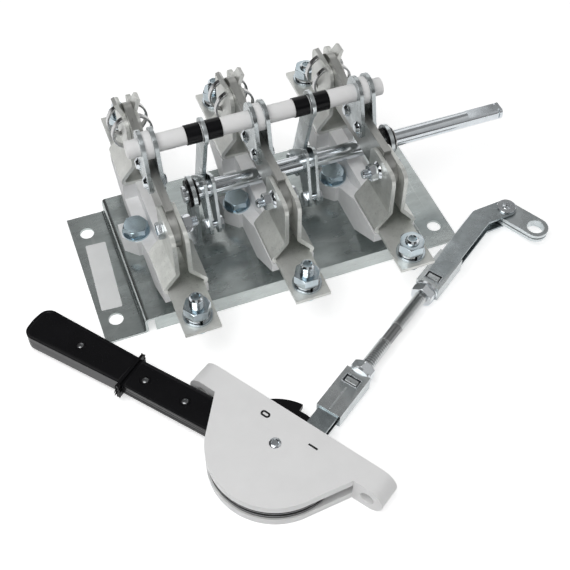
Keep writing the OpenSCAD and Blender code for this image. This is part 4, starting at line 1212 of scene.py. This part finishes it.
@dataclass(frozen=True)
class ForkPin:
    """Pin of the fork with washers and a peened end.

    Attributes:
        foot: Underside of its lower washer.
        radius: Radius of the pin.
        plates: Undersides of the lower and upper washer, from the foot.
        washer: Outer radius of the washers.
        thick: Thickness of the washers.
        height: Whole height of the pin.
        cut: Chamfer of the washers.
        cross: Length, width and height of the bars of the peened cross.
        cross_turns: Ways that the bars point, in degrees.
    """

    foot: Vec3 = (183.975, -59.683, 3.25)
    radius: float = 3.5
    plates: tuple[float, float] = (0.5, 14.5)
    washer: float = 7.35
    thick: float = 1.3
    height: float = 16.4
    cut: float = 0.25
    cross: Vec3 = (5.4, 1.3, 0.5)
    cross_turns: tuple[float, float] = (20.0, 110.0)

    def build(self) -> None:
        """Make the pin, its washers and the peened cross."""
        pin = Shape()
        edge = self.radius - 0.6
        pin.lathe([(0.0, 0.0), (edge, 0.0), (self.radius, 0.4), (self.radius, self.height - 0.7),
                   (edge, self.height - 0.2), (0.0, self.height)], 40)
        low, high = self.radius + 0.05, self.washer
        for z in self.plates:
            top = z + self.thick
            pin.lathe([(low, z), (high - self.cut, z), (high, z + self.cut), (high, top - self.cut),
                       (high - self.cut, top), (low, top), (low, z)], 48)
        for turn in self.cross_turns:
            bar = Shape()
            bar.block(self.cross, (0.0, 0.0, self.height - 0.1))
            pin.join(bar.soften(0.15), Matrix.Rotation(math.radians(turn), 4, "Z"))
        pin.moved(Matrix.Translation(self.foot)).piece("fork_pin_peened", BRIGHT, Body.ROD, "fork_pin")


@dataclass(frozen=True)
class Studio:
    """Floor, light and camera.

    Attributes:
        eye: Where the camera stands.
        ahead: Where it looks.
        lens: Focal length for a 36 mm sensor.
        sweep: Outline of the floor and the curve behind it, as radius and height.
        glow_reach: Distances in metres between which the floor's own white rises.
        glow: Strength of that white there.
        sky_axis: Where the room's light is strongest.
        sky_heights: Where the light starts and stops to rise, as the cosine of the angle to that axis.
        sky_levels: Its strength there.
        lamps: Name, place, side and power in watts of each lamp.
        aim: Where the lamps point.
    """

    eye: Vec3 = (-168.0, -496.0, 587.0)
    ahead: Vec3 = (0.2215, 0.5832, -0.7815)
    lens: float = 62.4
    sweep: tuple[tuple[float, float], ...] = (
        (0.0, 0.0), (1000.0, 0.0), (3600.0, 0.0), (4200.0, 30.0), (4700.0, 120.0), (5100.0, 300.0),
        (5400.0, 650.0))
    glow_reach: tuple[float, float] = (0.5, 1.6)
    glow: tuple[float, float] = (0.52, 0.96)
    sky_axis: Vec3 = (0.55, 0.15, 0.82)
    sky_heights: tuple[float, float] = (0.05, 0.95)
    sky_levels: tuple[float, float] = (0.02, 0.30)
    lamps: tuple[tuple[str, Vec3, float, float], ...] = (
        ("key", (-420.0, -260.0, 900.0), 700.0, 5.3), ("fill", (700.0, -500.0, 700.0), 900.0, 0.9),
        ("rim", (330.0, 820.0, 680.0), 700.0, 1.3), ("front", (-260.0, -1000.0, 480.0), 700.0, 0.9))
    aim: Vec3 = (20.0, -60.0, 40.0)

    def build(self) -> None:
        """Set everything up."""
        self._floor()
        self._world()
        for name, place, size, power in self.lamps:
            self._lamp(name, place, size, power)
        self._camera()
        bpy.context.scene.view_settings.view_transform = "Standard"

    def _floor(self) -> None:
        """Lay a wide pale floor that curves up far away from the part."""
        shape = Shape().lathe(list(self.sweep), 96).moved(Matrix.Scale(MM, 4))
        shape.bm.normal_update()
        if next(iter(shape.bm.faces)).normal.z < 0.0:
            bmesh.ops.reverse_faces(shape.bm, faces=shape.bm.faces)
        mesh = bpy.data.meshes.new("floor")
        shape.bm.to_mesh(mesh)
        shape.bm.free()
        mesh.shade_smooth()
        floor = bpy.data.objects.new("floor", mesh)
        bpy.context.scene.collection.objects.link(floor)
        mesh.materials.append(self._pale())

    def _pale(self) -> bpy.types.Material:
        """Make the floor's finish, white to the camera and in reflections.

        Returns:
            The new material.
        """
        graph = Graph("pale floor")
        graph.shader.inputs["Base Color"].default_value = (0.93, 0.93, 0.93, 1.0)
        graph.shader.inputs["Roughness"].default_value = 0.9
        graph.shader.inputs["Specular IOR Level"].default_value = 0.1
        graph.shader.inputs["Emission Color"].default_value = (1.0, 1.0, 1.0, 1.0)
        path = graph.node("ShaderNodeLightPath").outputs
        seen = graph.combine("MAXIMUM", path["Is Camera Ray"], path["Is Glossy Ray"])
        seen = graph.combine("MAXIMUM", seen, path["Is Transmission Ray"])
        far = graph.node("ShaderNodeVectorMath")
        far.operation = "LENGTH"
        graph.link(graph.node("ShaderNodeTexCoord").outputs["Object"], far.inputs[0])
        glow = graph.ranged(far.outputs["Value"], self.glow_reach, self.glow)
        graph.link(graph.combine("MULTIPLY", seen, glow), graph.shader.inputs["Emission Strength"])
        return graph.material

    def _world(self) -> None:
        """Fill the room with light that falls off towards the horizon."""
        world = bpy.data.worlds.new("studio")
        world.use_nodes = True
        nodes, links = world.node_tree.nodes, world.node_tree.links
        lean = nodes.new("ShaderNodeVectorMath")
        lean.operation = "DOT_PRODUCT"
        lean.inputs[1].default_value = self.sky_axis
        links.new(nodes.new("ShaderNodeTexCoord").outputs["Generated"], lean.inputs[0])
        sky = nodes.new("ShaderNodeMapRange")
        for key, value in zip(("From Min", "From Max", "To Min", "To Max"), (*self.sky_heights, *self.sky_levels)):
            sky.inputs[key].default_value = value
        links.new(lean.outputs["Value"], sky.inputs["Value"])
        links.new(sky.outputs["Result"], nodes["Background"].inputs["Strength"])
        nodes["Background"].inputs["Color"].default_value = (1.0, 1.0, 1.0, 1.0)
        bpy.context.scene.world = world

    def _lamp(self, name: str, place: Vec3, size: float, power: float) -> None:
        """Hang a soft lamp that points at the part.

        Args:
            name: Name of the lamp.
            place: Where it hangs.
            size: Side of its square.
            power: Power in watts.
        """
        data = bpy.data.lights.new(name, "AREA")
        data.size = size * MM
        data.energy = power
        lamp = bpy.data.objects.new(name, data)
        back = Vector(place) - Vector(self.aim)
        lamp.matrix_world = facing(Vector(place) * MM, back)
        bpy.context.scene.collection.objects.link(lamp)

    def _camera(self) -> None:
        """Stand the camera where the photograph was taken."""
        data = bpy.data.cameras.new("camera")
        data.sensor_fit = "HORIZONTAL"
        data.sensor_width = 36.0
        data.lens = self.lens
        camera = bpy.data.objects.new("camera", data)
        turn = Vector(self.ahead).to_track_quat("-Z", "Y").to_matrix().to_4x4()
        camera.matrix_world = Matrix.Translation(Vector(self.eye) * MM) @ turn
        bpy.context.scene.collection.objects.link(camera)
        bpy.context.scene.camera = camera


def main() -> None:
    """Build every sub-assembly in order."""
    logging.basicConfig(level=logging.INFO, format="%(message)s")
    for soft in SOFT_NODES:
        soft.build()
    for group in (Terminals(), Hinges(), ShaftClip(), BlankSticker(), Housing(), PositionMarks(), Rotor(),
                  Lever(), PullRod(), ForkPin()):
        group.build()
    Studio().build()


if __name__ == "__main__":
    main()
